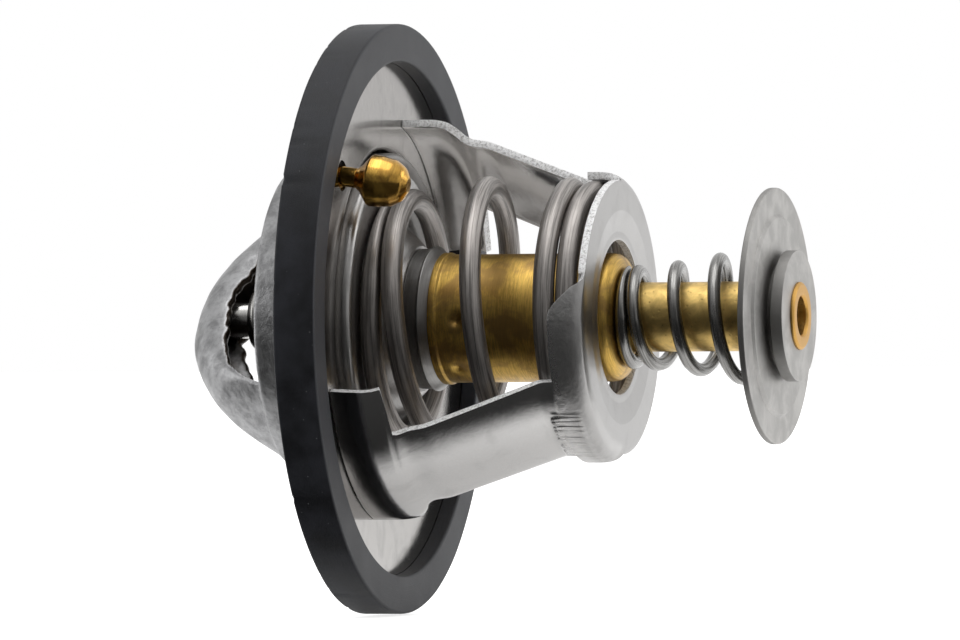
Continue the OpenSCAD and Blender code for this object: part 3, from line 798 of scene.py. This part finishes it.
class THERMOSTAT_OT_flange(bpy.types.Operator):
    """Builds the flange plate with its seat wall, and the bridge drawn up from it"""

    bl_idname = "thermostat.flange"
    bl_label = "Flange and bridge"

    def execute(self, context):
        s = context.scene.thermostat_flange
        sheet = s.thickness / MM
        rim, half = s.diameter / 2 / MM, sheet / 2
        crest, top = s.crest_radius / MM, s.crest_place / MM
        slope, split, hidden = 0.30723, -5.4, 0.06
        inner = crest - sheet - slope * top
        outer = inner + sheet * math.hypot(1, slope)
        plate = turned("flange_plate", [
            [inner + slope * split + hidden, split, 0.1], [outer + slope * split - hidden, split, 0.1],
            [outer - slope * half, -half, 1.0], [rim, -half, 0.12], [rim, half, 0.12],
            [inner + slope * half, half, 1.1],
        ], 256)
        self.pierce(plate, context)
        finish = rolled_finish("flange_steel", s.colour, s.dull_colour)
        dress(plate, "frame", "flange_steel", finish)
        lap = split + 0.3
        lip = top - s.crest_spare / MM
        ring = turned("ring", [
            [crest - sheet, lip, 0.3], [crest, lip, 0.3],
            [outer + slope * lap, lap, 0.1], [inner + slope * lap, lap, 0.1],
        ], 256)
        bridge = join("bridge", [ring, self.arms(s)])
        modify(bridge, "REMESH", mode="VOXEL", voxel_size=0.24 * MM)
        modify(bridge, "SMOOTH", factor=0.5, iterations=6)
        flatten(bridge)
        bridge.data.shade_smooth()

        def lump(point):
            free = ramp(-point.x, 8 * MM, 11 * MM) * MM
            return (swell(point, 3.2 * MM, 5.0) * 0.07 + swell(point, 1.4 * MM, 8.0) * 0.03) * free

        push(bridge, lump)
        finish = drawn_finish("drawn_steel", s.dull_colour)
        settle(bridge, "frame", "flange_steel", [finish], "flange_bridge")
        return {"FINISHED"}

    def pierce(self, plate, context):
        """Cuts the jiggle pin's hole and the slots of the lower frame's tabs."""
        pin = context.scene.thermostat_jiggle
        legs = context.scene.thermostat_lower_frame
        at, hole = place(pin.radius, 0, pin.angle), 1.65 * MM
        circle = [math.tau * j / 48 for j in range(48)]
        rows = [[at + place(hole, x * MM, t) for t in circle] for x in (-2, 2)]
        cutters = [skin("hole", rows, closed_columns=True, ends=True)]
        outline, reach = [[21.56, -2], [22.46, -2], [22.46, 2], [21.56, 2]], 0.182
        for turn in (0, math.pi):
            middle = legs.leg_angle + turn - FOOT_SHIFT / 22
            cutters.append(block("slot", outline, middle - reach, middle + reach))
        for cutter in cutters:
            modify(plate, "BOOLEAN", operation="DIFFERENCE", solver="EXACT", object=cutter)
            flatten(plate)
            bpy.data.objects.remove(cutter)
        plate.data.set_sharp_from_angle(angle=math.radians(50))

    def arms(self, s):
        """The pressed channel from crest to crest, with its wavy edges."""
        end = (s.crest_radius - 0.35 * MM) / MM
        crown, low = s.crown_place / MM, s.crest_place / MM + 0.7
        span, fall, power, bow = 0.72 * s.crest_radius / MM, 4.3, 2.4, 1.2
        half, depth = s.crown_half / MM, s.crown_depth / MM
        foot_half, foot_depth = s.foot_half / MM, s.foot_depth / MM

        def ridge(u):
            """Place of the channel's back, curved over the crown and bent down to the crest."""
            v = abs(u)
            if v < span:
                return crown + fall * (v / span) ** power
            k = (v - span) / (end - span)
            slope = power * fall / span * (end - span)
            return crown + fall + slope * k + (low - crown - fall - slope) * k * k

        def point(u, a, inward):
            """The point a distance u along the bridge and an angle a round its section."""
            k = abs(u) / end
            w = half + (foot_half - half) * k**3.5
            h = depth + (foot_depth - depth) * k**2.5
            out = Vector((-h * math.sin(a), w * math.cos(a))).normalized()
            across = w * math.sin(a) + inward * out.x - bow * k * k
            drop = h * (1 - math.cos(a)) + inward * out.y
            rise = Vector((0.04, ridge(u + 0.02) - ridge(u - 0.02))).normalized()
            u, x = u - drop * rise.y, ridge(u) + drop * rise.x
            y, z = Matrix.Rotation(s.bridge_angle, 2) @ Vector((u, across))
            return Vector((x, y, z)) * MM

        def sweep(u, side):
            """How far round its section the sheet reaches on a side."""
            wave = 10 * noise.noise(Vector((u * 0.55, side * 9, 0)))
            return math.radians(78 + wave + 17 * ramp(u * side, 2.5, 7.5)) * side

        rows, stations, columns = [], 110, 24
        for i in range(stations + 1):
            u = end * (2 * i / stations - 1)
            near, far = sweep(u, -1), sweep(u, 1)
            turns = [near + (far - near) * j / columns for j in range(columns + 1)]
            inner = [point(u, a, s.thickness / MM) for a in reversed(turns)]
            rows.append([point(u, a, 0) for a in turns] + inner)
        return skin("arms", rows, closed_columns=True, ends=True)


class THERMOSTAT_OT_lower_frame(bpy.types.Operator):
    """Builds the lower frame: feet, legs and end cup as one bent sheet"""

    bl_idname = "thermostat.lower_frame"
    bl_label = "Lower frame"

    def execute(self, context):
        s = context.scene.thermostat_lower_frame
        made = self.sheet(s)
        made.data.materials.append(None)
        made.data.materials.append(None)
        modify(made, "SOLIDIFY", thickness=s.thickness, offset=-1, use_even_offset=True,
               material_offset_rim=1)
        flatten(made)
        self.ease_edges(made, 0.18, 50, material=1)
        steel = frame_finish("frame_steel", s.colour, (s.cup_face - s.skirt_length) / MM)
        edge = cut_finish("frame_cut_edge", s.colour)
        settle(made, "frame", "frame_steel", [steel, edge], "lower_frame")
        self.tabs(s, steel)
        return {"FINISHED"}

    def ease_edges(self, made, width, limit, **more):
        """Rounds a piece's edges that are sharper than a limit in degrees."""
        modify(made, "BEVEL", width=width * MM, segments=2, limit_method="ANGLE",
               angle_limit=math.radians(limit), **more)
        flatten(made)
        made.data.shade_smooth()
        even_shading(made)

    def outline(self, s):
        """The sheet's outer line, from the foot's edge to the hole."""
        foot, shoulder, cup = s.foot_radius / MM, s.shoulder_radius / MM, s.cup_radius / MM
        face, hole = s.cup_face / MM, s.hole_radius / MM
        return rounded([
            [foot, 0.54, 0], [foot, 5.2, 7.0], [shoulder + 0.15, 7.8, 3.6], [shoulder - 0.1, 9.8, 5.0],
            [cup, face - 5.1, 2.0], [cup, face, 2.8], [hole + 3.2, face, 1.6],
            [hole + 0.9, face - 0.35, 1.0], [hole, face - 0.35, 0],
        ], closed=False, steps=8)

    def sheet(self, s):
        """The bent sheet before it has thickness: two legs that run into the cup."""
        line = self.resample(self.outline(s), 0.33)
        face, skirt = s.cup_face / MM, (s.cup_face - s.skirt_length) / MM
        line = [p for p in line if abs(p.y - FOOT_END) > 0.2 and abs(p.y - skirt) > 0.1]
        for along in (FOOT_END, skirt):
            start = next(i for i, p in enumerate(line) if p.y >= along)
            line.insert(start, self.at_place(line, along))
        bare = s.cup_radius / MM - 0.9
        after = next(i for i in range(start, len(line)) if line[i].x < bare)
        line.insert(after, line[after - 1].lerp(line[after], 0.5))
        line[after].x = bare
        points, faces, index = [], [], {}

        def vertex(row, turn, position):
            key = row, round(turn % math.tau, 7) % round(math.tau, 7)
            if key not in index:
                index[key] = len(points)
                points.append(position)
            return index[key]

        columns, legs = 22, []
        for middle in (s.leg_angle, s.leg_angle + math.pi):
            last = None
            for i, p in enumerate(line[: start + 1]):
                low, high = self.bounds(p.y, s)
                across = [low + (high - low) * j / columns for j in range(columns + 1)]
                turns = [middle + math.asin(a / p.x) for a in across]
                row = [vertex(i, t, place(p.x * MM, p.y * MM, t)) for t in turns]
                if last:
                    faces += [(last[j], last[j + 1], row[j + 1], row[j]) for j in range(columns)]
                last = row
            legs.append(turns)

        def on_skirt(row, t, deep):
            """A point of the cup. A shallow skirt has its rows drawn together at its end, and the
            face runs flat to the sheared edge there."""
            at = float(row)
            if row < after and 0 < deep < 1:
                at = after - (after - row) * deep
            low = min(int(at), len(line) - 2)
            p = line[low].lerp(line[low + 1], at - low)
            along, top, bend = p.y, line[after].y, face - 2.3
            if row < after:
                along += (face - top) * (1 - deep) * ramp(along, bend, top)
            elif along > face - 1.5 and p.x > 11.5:
                along += (face - along) * (1 - deep)
            return place(p.x * MM, along * MM, t)

        circle = self.skirt_depths(s.leg_angle, legs)
        for i in range(start, len(line) - 1):
            for j, (a, left) in enumerate(circle):
                b, right = circle[(j + 1) % len(circle)]
                if left or i >= after:
                    corners = [(i, a, left), (i, b, right), (i + 1, b, right), (i + 1, a, left)]
                    faces.append(tuple(vertex(r, t, on_skirt(r, t, deep)) for r, t, deep in corners))
        return piece("lower_frame_sheet", points, faces)

    def skirt_depths(self, angle, legs):
        """The angles round the cup, each with the skirt's depth there from 0 to 1. From a leg on,
        the skirt is full, then missing, then climbs in a curve, then is full to the next leg."""
        circle = []
        for leg in (0, 1):
            turns, following = legs[leg], legs[1 - leg][0] + (math.tau if leg else 0)
            middle = angle + leg * math.pi
            stops = [turns[-1], *(middle + math.radians(d) for d in (40, 111, 129.5)), following]
            circle += [(t, 1.0) for t in turns[:-1]]
            for k, count in enumerate((10, 42, 24, 18)):
                for j in range(count):
                    share = j / count
                    curve = 0.03 + 0.97 * share * share * (3 - 2 * share)
                    t = stops[k] + (stops[k + 1] - stops[k]) * share
                    circle.append((t, (1.0, 0.0, curve, 1.0)[k]))
        return circle

    def bounds(self, along, s):
        """How far the sheet reaches to each side of a leg's line at a place along the axis."""
        half, foot, bend = s.leg_width / 2 / MM, s.foot_width / 2 / MM, 1.3
        cup = (s.cup_face - s.skirt_length) / MM + 2
        at_cup, at_shoulder = -0.45, 0.8
        notch, slant = FOOT_END + bend, 8.2
        if along <= FOOT_END + 0.01:
            taper = 0.3 * (along + 0.5) / (FOOT_END + 0.5)
            return taper - FOOT_SHIFT - foot, foot - FOOT_SHIFT

        def edge(side, start):
            """A leg's edge, straight from its shoulder to the cup."""
            k = (along - start) / (cup - start)
            return at_shoulder * (1 - k) + at_cup * k + side * half

        low, high = edge(-1, notch), edge(1, slant)
        if along < notch:
            low = at_shoulder - half - bend + math.sqrt(max(0, bend**2 - (notch - along) ** 2))
        if along < slant - bend:
            k = (along - FOOT_END) / (slant - bend - FOOT_END)
            high = (foot - FOOT_SHIFT) * (1 - k) + (at_shoulder + half + bend) * k
        elif along < slant:
            high = at_shoulder + half + bend - math.sqrt(max(0, bend**2 - (slant - along) ** 2))
        return low, high

    def resample(self, line, step):
        """The line with points about a step apart."""
        points = [line[0]]
        for a, b in zip(line, line[1:]):
            count = max(1, round((b - a).length / step))
            points += [a.lerp(b, k / count) for k in range(1, count + 1)]
        return points

    def at_place(self, line, along):
        """The line's point at a place along the axis."""
        for a, b in zip(line, line[1:]):
            if a.y <= along <= b.y:
                return a.lerp(b, (along - a.y) / max(1e-9, b.y - a.y))
        raise RuntimeError("the lower frame's line misses the skirt")

    def tabs(self, s, steel):
        """The two bent tabs that lock the feet in the flange."""
        outer, inner = s.foot_radius / MM - 0.05, (s.foot_radius - s.thickness) / MM + 0.05
        outline = rounded([
            [inner, 1.9, 0.1], [outer, 1.9, 0.1], [outer, -0.52, 0.1], [outer + 2.2, -0.52, 0.15],
            [outer + 2.2, -1.3, 0.15], [inner, -1.3, 0.6],
        ])
        parts = []
        for turn in (0, math.pi):
            middle = s.leg_angle + turn - FOOT_SHIFT / outer
            parts.append(block("tab", outline, middle - 4 / outer, middle + 4 / outer))
        tabs = join("frame_tabs", parts)
        self.ease_edges(tabs, 0.1, 60)
        settle(tabs, "frame", "frame_steel", [steel])


class THERMOSTAT_OT_element(bpy.types.Operator):
    """Builds the main valve, its collar, the wax element, its guide and the piston"""

    bl_idname = "thermostat.element"
    bl_label = "Valve and wax element"

    def execute(self, context):
        s = context.scene.thermostat_element
        case, end = s.case_radius / MM, s.case_end / MM
        bore = case + 0.02
        satin = brushed_finish("valve_steel", s.valve_colour, 0.3, (5.0, 7.0, 4.0), 0.012, 0.45)
        valve = turned("valve", [
            [18.0, -0.8, 0.25], [18.0, 1.8, 1.0], [16.0, 1.8, 0.35], [15.2, 1.3, 0.35],
            [11.0, 1.3, 0.9], [8.35, 4.0, 0.6], [7.9, 4.4, 0.25], [bore, 4.4, 0.08],
            [bore, 3.4, 0.08], [7.5, 3.4, 0.4], [10.6, 0.3, 0.5], [15.5, 0.3, 0.3],
            [16.3, 0.8, 0.3], [17.0, 0.8, 0.3], [17.0, -0.8, 0.25],
        ], 224)
        dress(valve, "valve", "valve_steel", satin, "main_valve")
        collar = turned("collar", [
            [bore, 4.4, 0.05], [case + 0.65, 4.4, 0.16], [case + 0.65, 5.9, 0.1],
            [case + 0.95, 6.2, 0.1], [case + 0.12, 7.1, 0.05], [bore, 7.1, 0.02],
        ], 128)
        darker = shade(s.valve_colour, 0.82)
        grey = brushed_finish("collar_steel", darker, 0.34, (6.0, 6.0, 3.0), 0.01, 0.3)
        dress(collar, "valve", "collar_steel", grey, "valve_collar")
        shell = turned("case", [
            [5.7, 1.0, 0.05], [case - 0.3, 1.0, 0.1], [case, 1.3, 0.1], [case, 7.1, 0.02],
            [case + 0.2, 7.1, 0.08], [case + 0.2, 7.8, 0.15], [case, 8.05, 0.1], [case, end - 3.2, 0],
            [case, end, 1.8], [2.02, end, 0.05], [2.02, end - 2, 0.05], [case - 1, end - 2, 0.3],
            [case - 1, 3.5, 0.05], [6.4, 3.5, 0.05], [6.4, 1.5, 0.05], [5.7, 1.5, 0.05],
        ], 160)
        self.subdivide_length(shell)
        dents = [  # place along the axis, angle, size and depth
            (10.3, math.pi + 0.02, 0.65, 0.42), (10.1, 3.19, 0.35, 0.2), (9.8, 4.05, 0.6, 0.36),
            (12.6, 3.5, 1.6, 0.07),
        ]

        def dent(point):
            near = [
                deep * math.exp(-(((point - place(case * MM, x * MM, t)).length / (size * MM)) ** 2))
                for x, t, size, deep in dents
            ]
            return -sum(near) * MM

        push(shell, dent)
        brass = brass_finish("case_brass", s.brass, s.tarnish, 0.34, 3.5, 0.15, 0.012)
        dress(shell, "valve", "case_brass", brass, "element_case")
        guide = turned("guide", [
            [2.05, -14.6, 0.1], [3.1, -14.6, 0.2], [3.8, -13.9, 0.4], [3.8, -1.0, 0.4],
            [4.8, 0.0, 0.1], [4.8, 1.5, 0.05], [6.38, 1.5, 0.05], [6.38, 3.5, 0.05],
            [3.3, 3.5, 0.05], [3.3, 1.9, 0.05], [2.05, 1.9, 0.05],
        ], 96)
        bright = brushed_finish("guide_steel", s.guide_colour, 0.24, (6.0, 6.0, 2.0), 0.008, 0.3)
        dress(guide, "valve", "guide_steel", bright, "piston_guide")
        self.piston(s.piston_colour)
        return {"FINISHED"}

    def subdivide_length(self, made):
        """Splits the long quads of a turned piece, so that dents have points to move."""
        shape = bmesh.new()
        shape.from_mesh(made.data)
        for _ in range(40):
            long = [e for e in shape.edges if abs(e.verts[0].co.x - e.verts[1].co.x) > 0.4 * MM]
            if not long:
                break
            bmesh.ops.subdivide_edges(shape, edges=long, cuts=1)
        shape.to_mesh(made.data)
        shape.free()
        made.data.shade_smooth()

    def piston(self, colour):
        low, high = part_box("piston")
        tip, end, r = low.x / MM, high.x / MM, (high.y - low.y) / 2 / MM
        sweep = [math.radians(9 * k) for k in range(11)]
        nose = [[r * math.sin(t), tip + 1.6 * r * (1 - math.cos(t)), 0] for t in sweep]
        tail = [[r, end - 0.4, 0], [r - 0.4, end, 0.1], [0, end, 0]]
        rod = turned("piston_rod", nose + tail, 80, closed=False)
        finish = brushed_finish("piston_steel", colour, 0.18, (5.0, 5.0, 2.0), 0.006, 0.25)
        dress(rod, "frame", "piston_steel", finish, "piston")


class THERMOSTAT_OT_inner(bpy.types.Operator):
    """Finishes the sealed pieces inside the case"""

    bl_idname = "thermostat.inner"
    bl_label = "Inside the case"

    def execute(self, context):
        finishes = {
            "wax_charge": plain_finish("wax", (0.55, 0.4, 0.2), 0.5),
            "rubber_boot": plain_finish("boot_rubber", (0.03, 0.03, 0.03), 0.6),
            "guide_seal": plain_finish("seal_rubber", (0.03, 0.03, 0.03), 0.6),
            "backup_washer": plain_finish("white_plastic", (0.75, 0.74, 0.7), 0.35),
        }
        for node, finish in finishes.items():
            slots = frame["nodes"][node].material_slots
            if not slots:
                raise RuntimeError(f"{node} has no material slot")
            for slot in slots:
                slot.material = finish
        return {"FINISHED"}


class THERMOSTAT_OT_bypass(bpy.types.Operator):
    """Builds the bypass stem, disc and washer"""

    bl_idname = "thermostat.bypass"
    bl_label = "Bypass valve"

    def execute(self, context):
        s = context.scene.thermostat_bypass
        r, end = s.stem_radius / MM, s.stem_end / MM
        case = context.scene.thermostat_element.case_end / MM
        back = end - 1.7
        stem = turned("stem", [
            [0, case - 2, 0], [2, case - 2, 0.1], [2, case, 0.05], [r - 0.3, case, 0.1],
            [r, case + 0.3, 0.2], [r, case + 6, 0], [r, case + 12, 0], [r, back, 0.05],
            [2.75, back, 0.05], [2.75, end - 0.4, 0.05], [r - 0.1, end - 0.4, 0.05],
            [r - 0.1, end - 0.2, 0.1], [r - 0.35, end, 0.15], [2.35, end, 0.2],
            [2.1, end - 0.25, 0.2], [2.1, 36.75, 0.1], [0, 35.7, 0],
        ], 128, closed=False)
        dress(stem, "valve", "stem_brass", stem_finish("stem_brass", s.brass, end), "bypass_stem")
        washer = turned("washer", [
            [2.77, back, 0.05], [7.05, back, 0.12], [7.05, end - 0.4, 0.08], [2.77, end - 0.4, 0.1],
        ], 128)
        dress(washer, "valve", "washer_steel", plate_finish("washer_steel", s.steel), "bypass_washer")
        rim, low = s.disc_radius / MM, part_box("bypass_disc")[0].x / MM
        mid, front = low + 0.35, low + 1.7
        disc = turned("disc", [
            [r + 0.1, mid + 0.65, 0.05], [r + 1.1, mid + 0.65, 0.2], [r + 1.6, mid, 0.2],
            [10.3, mid, 0.3], [10.6, low, 0.3], [rim, low, 0.15], [rim, low + 0.7, 0.22],
            [10.9, low + 0.7, 0.1], [10.6, mid + 0.7, 0.1], [r + 2.1, mid + 0.7, 0.3],
            [r + 1.6, front, 0.2], [r + 0.1, front, 0.1],
        ], 224)
        dress(disc, "bypass", "disc_steel", plate_finish("disc_steel", s.steel), "bypass_disc")
        return {"FINISHED"}


class THERMOSTAT_OT_springs(bpy.types.Operator):
    """Winds the main spring and the bypass spring"""

    bl_idname = "thermostat.springs"
    bl_label = "Springs"

    def execute(self, context):
        s = context.scene.thermostat_springs
        cup = context.scene.thermostat_lower_frame
        stem = context.scene.thermostat_bypass
        wide = (cup.cup_radius - cup.thickness - s.main_wire / 2) / MM - 0.28
        low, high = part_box("main_spring")
        main = self.coil(
            "main_coil", (low.x, high.x), s.main_wire, s.main_turns, s.sides, radii=(12.7, wide),
            bulge=1.2, start=math.radians(165), stacked=0.3, tip=0.15,
        )
        finish = wire_finish("spring_steel", s.colour, 0.4, 0.03)
        settle(main, "frame", "spring_steel", [finish], "main_spring")
        self.squash(main, "valve_lift", low.x, high.x)
        narrow = (stem.stem_radius + s.bypass_wire / 2) / MM + 0.4
        low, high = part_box("bypass_spring")
        small = self.coil(
            "bypass_coil", (low.x, high.x), s.bypass_wire, s.bypass_turns, s.sides,
            radii=(narrow, narrow + 2.4), bulge=-0.35, start=math.pi, stacked=0, tip=0.25,
        )
        finish = wire_finish("bypass_spring_steel", s.bypass_colour, 0.2, 0.015)
        settle(small, "valve", "bypass_spring_steel", [finish], "bypass_spring")
        self.squash(small, "bypass_slide", high.x, low.x)
        return {"FINISHED"}

    def squash(self, made, joint, free, fixed):
        """Gives a coil a mesh of its own and works out the share of its length left at its joint's
        full travel; the coil is not shortened.
        """
        travel = next(max(map(abs, j["range_m"])) for j in frame["joints"] if j["name"] == joint)
        share = 1 - travel / abs(fixed - free)
        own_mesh(made)

    def coil(self, name, ends, wire, turns, sides, radii, bulge, start, stacked, tip):
        """A round wire in a right-handed coil with closed ends and a ground tip that runs back
        under its first turn. stacked is how many more turns lie closed at the far end."""
        wire /= MM
        closed = wire + 0.05
        low, high = ends[0] / MM + wire / 2, ends[1] / MM - wire / 2
        flat = 2 + stacked
        pitch = (high - low - closed * flat) / (turns - flat)

        def climb(t, more):
            """How far the wire's middle rises in its first t turns from an end."""
            if t > 1 + more:
                return closed * (1 + more) + pitch * (t - 1 - more)
            return closed * t if more else closed * t ** (pitch / closed)

        def section(t):
            """The place of the wire's middle and its thickness, t turns from the start."""
            if t < 0:
                thick = closed * (1 + t) ** (pitch / closed) - 0.05
                return low - (wire - thick) / 2, thick
            if t < turns - 1 - stacked:
                return low + climb(t, 0), wire
            return high - climb(turns - t, stacked), wire

        rows, marks = [], []
        steps = round((turns + tip) * 84)
        around = [math.tau * j / sides for j in range(sides)]
        for i in range(steps + 1):
            t = (turns + tip) * i / steps - tip
            x, thick = section(t)
            k = (x - low) / (high - low)
            radius = radii[0] + (radii[1] - radii[0]) * k + bulge * 4 * k * (1 - k)
            turn = start + math.tau * t
            rows.append([
                place((radius + wire / 2 * math.cos(b)) * MM, (x + thick / 2 * math.sin(b)) * MM, turn)
                for b in around
            ])
            marks += [(radius * math.tau * t, math.cos(b), math.sin(b)) for b in around]
        made = skin(name, rows, closed_columns=True, ends=True)
        layer = made.data.attributes.new("wire", "FLOAT_VECTOR", "POINT")
        layer.data.foreach_set("vector", [part for mark in marks for part in mark])
        return made


class THERMOSTAT_OT_jiggle_pin(bpy.types.Operator):
    """Builds the jiggle pin and its weight, drooping in their hole"""

    bl_idname = "thermostat.jiggle_pin"
    bl_label = "Jiggle pin"

    def execute(self, context):
        s = context.scene.thermostat_jiggle
        stand = Matrix.Translation(place(s.radius, 0, s.angle)) @ Matrix.Rotation(s.droop, 4, "Y")
        gold = brass_finish("pin_brass", s.colour, s.tarnish, 0.14, 6.0, 0.12, 0.01)
        pin = turned("pin", [
            [0, -1.75, 0], [2.35, -1.75, 0.4], [2.35, -0.95, 0.15], [1.075, -0.95, 0.1],
            [1.075, 2.2, 0.05], [0.675, 2.2, 0.05], [0.675, 4.4, 0.1], [0, 4.4, 0],
        ], 96, closed=False)
        weight = turned("weight", [
            [0.695, 2.2, 0.05], [1.075, 2.2, 0.3], [1.5, 2.75, 0.5], [2.72, 3.75, 0.08],
            [2.8, 3.95, 0.1], [2.74, 5.0, 0.8], [2.5, 6.4, 1.0], [1.8, 7.5, 1.2], [0.8, 8.03, 0.5],
            [0, 8.1, 0],
        ], 96, closed=False, steps=6)
        for made, node in ((pin, "jiggle_pin"), (weight, "jiggle_weight")):
            made.data.transform(stand)
            made.data.update()
            dress(made, "jiggle", "pin_brass", gold, node)
        return {"FINISHED"}


class THERMOSTAT_PT_panel(bpy.types.Panel):
    """Lists the operators that build the thermostat"""

    bl_idname = "THERMOSTAT_PT_panel"
    bl_label = "Engine Coolant Thermostat"
    bl_space_type = "VIEW_3D"
    bl_region_type = "UI"
    bl_category = "Thermostat"

    def draw(self, context):
        for operator in OPERATORS:
            self.layout.operator(operator.bl_idname)


SETTINGS = {
    "thermostat_stage": StageSettings,
    "thermostat_gasket": GasketSettings,
    "thermostat_flange": FlangeSettings,
    "thermostat_lower_frame": LowerFrameSettings,
    "thermostat_element": ElementSettings,
    "thermostat_bypass": BypassSettings,
    "thermostat_springs": SpringSettings,
    "thermostat_jiggle": JiggleSettings,
}
OPERATORS = [
    THERMOSTAT_OT_stage,
    THERMOSTAT_OT_gasket,
    THERMOSTAT_OT_flange,
    THERMOSTAT_OT_lower_frame,
    THERMOSTAT_OT_element,
    THERMOSTAT_OT_inner,
    THERMOSTAT_OT_bypass,
    THERMOSTAT_OT_springs,
    THERMOSTAT_OT_jiggle_pin,
]


def register():
    for group in SETTINGS.values():
        bpy.utils.register_class(group)
    for name, group in SETTINGS.items():
        setattr(bpy.types.Scene, name, PointerProperty(type=group))
    for operator in OPERATORS:
        bpy.utils.register_class(operator)
    bpy.utils.register_class(THERMOSTAT_PT_panel)


def unregister():
    bpy.utils.unregister_class(THERMOSTAT_PT_panel)
    for operator in reversed(OPERATORS):
        bpy.utils.unregister_class(operator)
    for name in SETTINGS:
        delattr(bpy.types.Scene, name)
    for group in reversed(SETTINGS.values()):
        bpy.utils.unregister_class(group)


def main():
    register()
    for operator in OPERATORS:
        group, name = operator.bl_idname.split(".")
        getattr(getattr(bpy.ops, group), name)()
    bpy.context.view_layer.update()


if __name__ == "__main__":
    main()
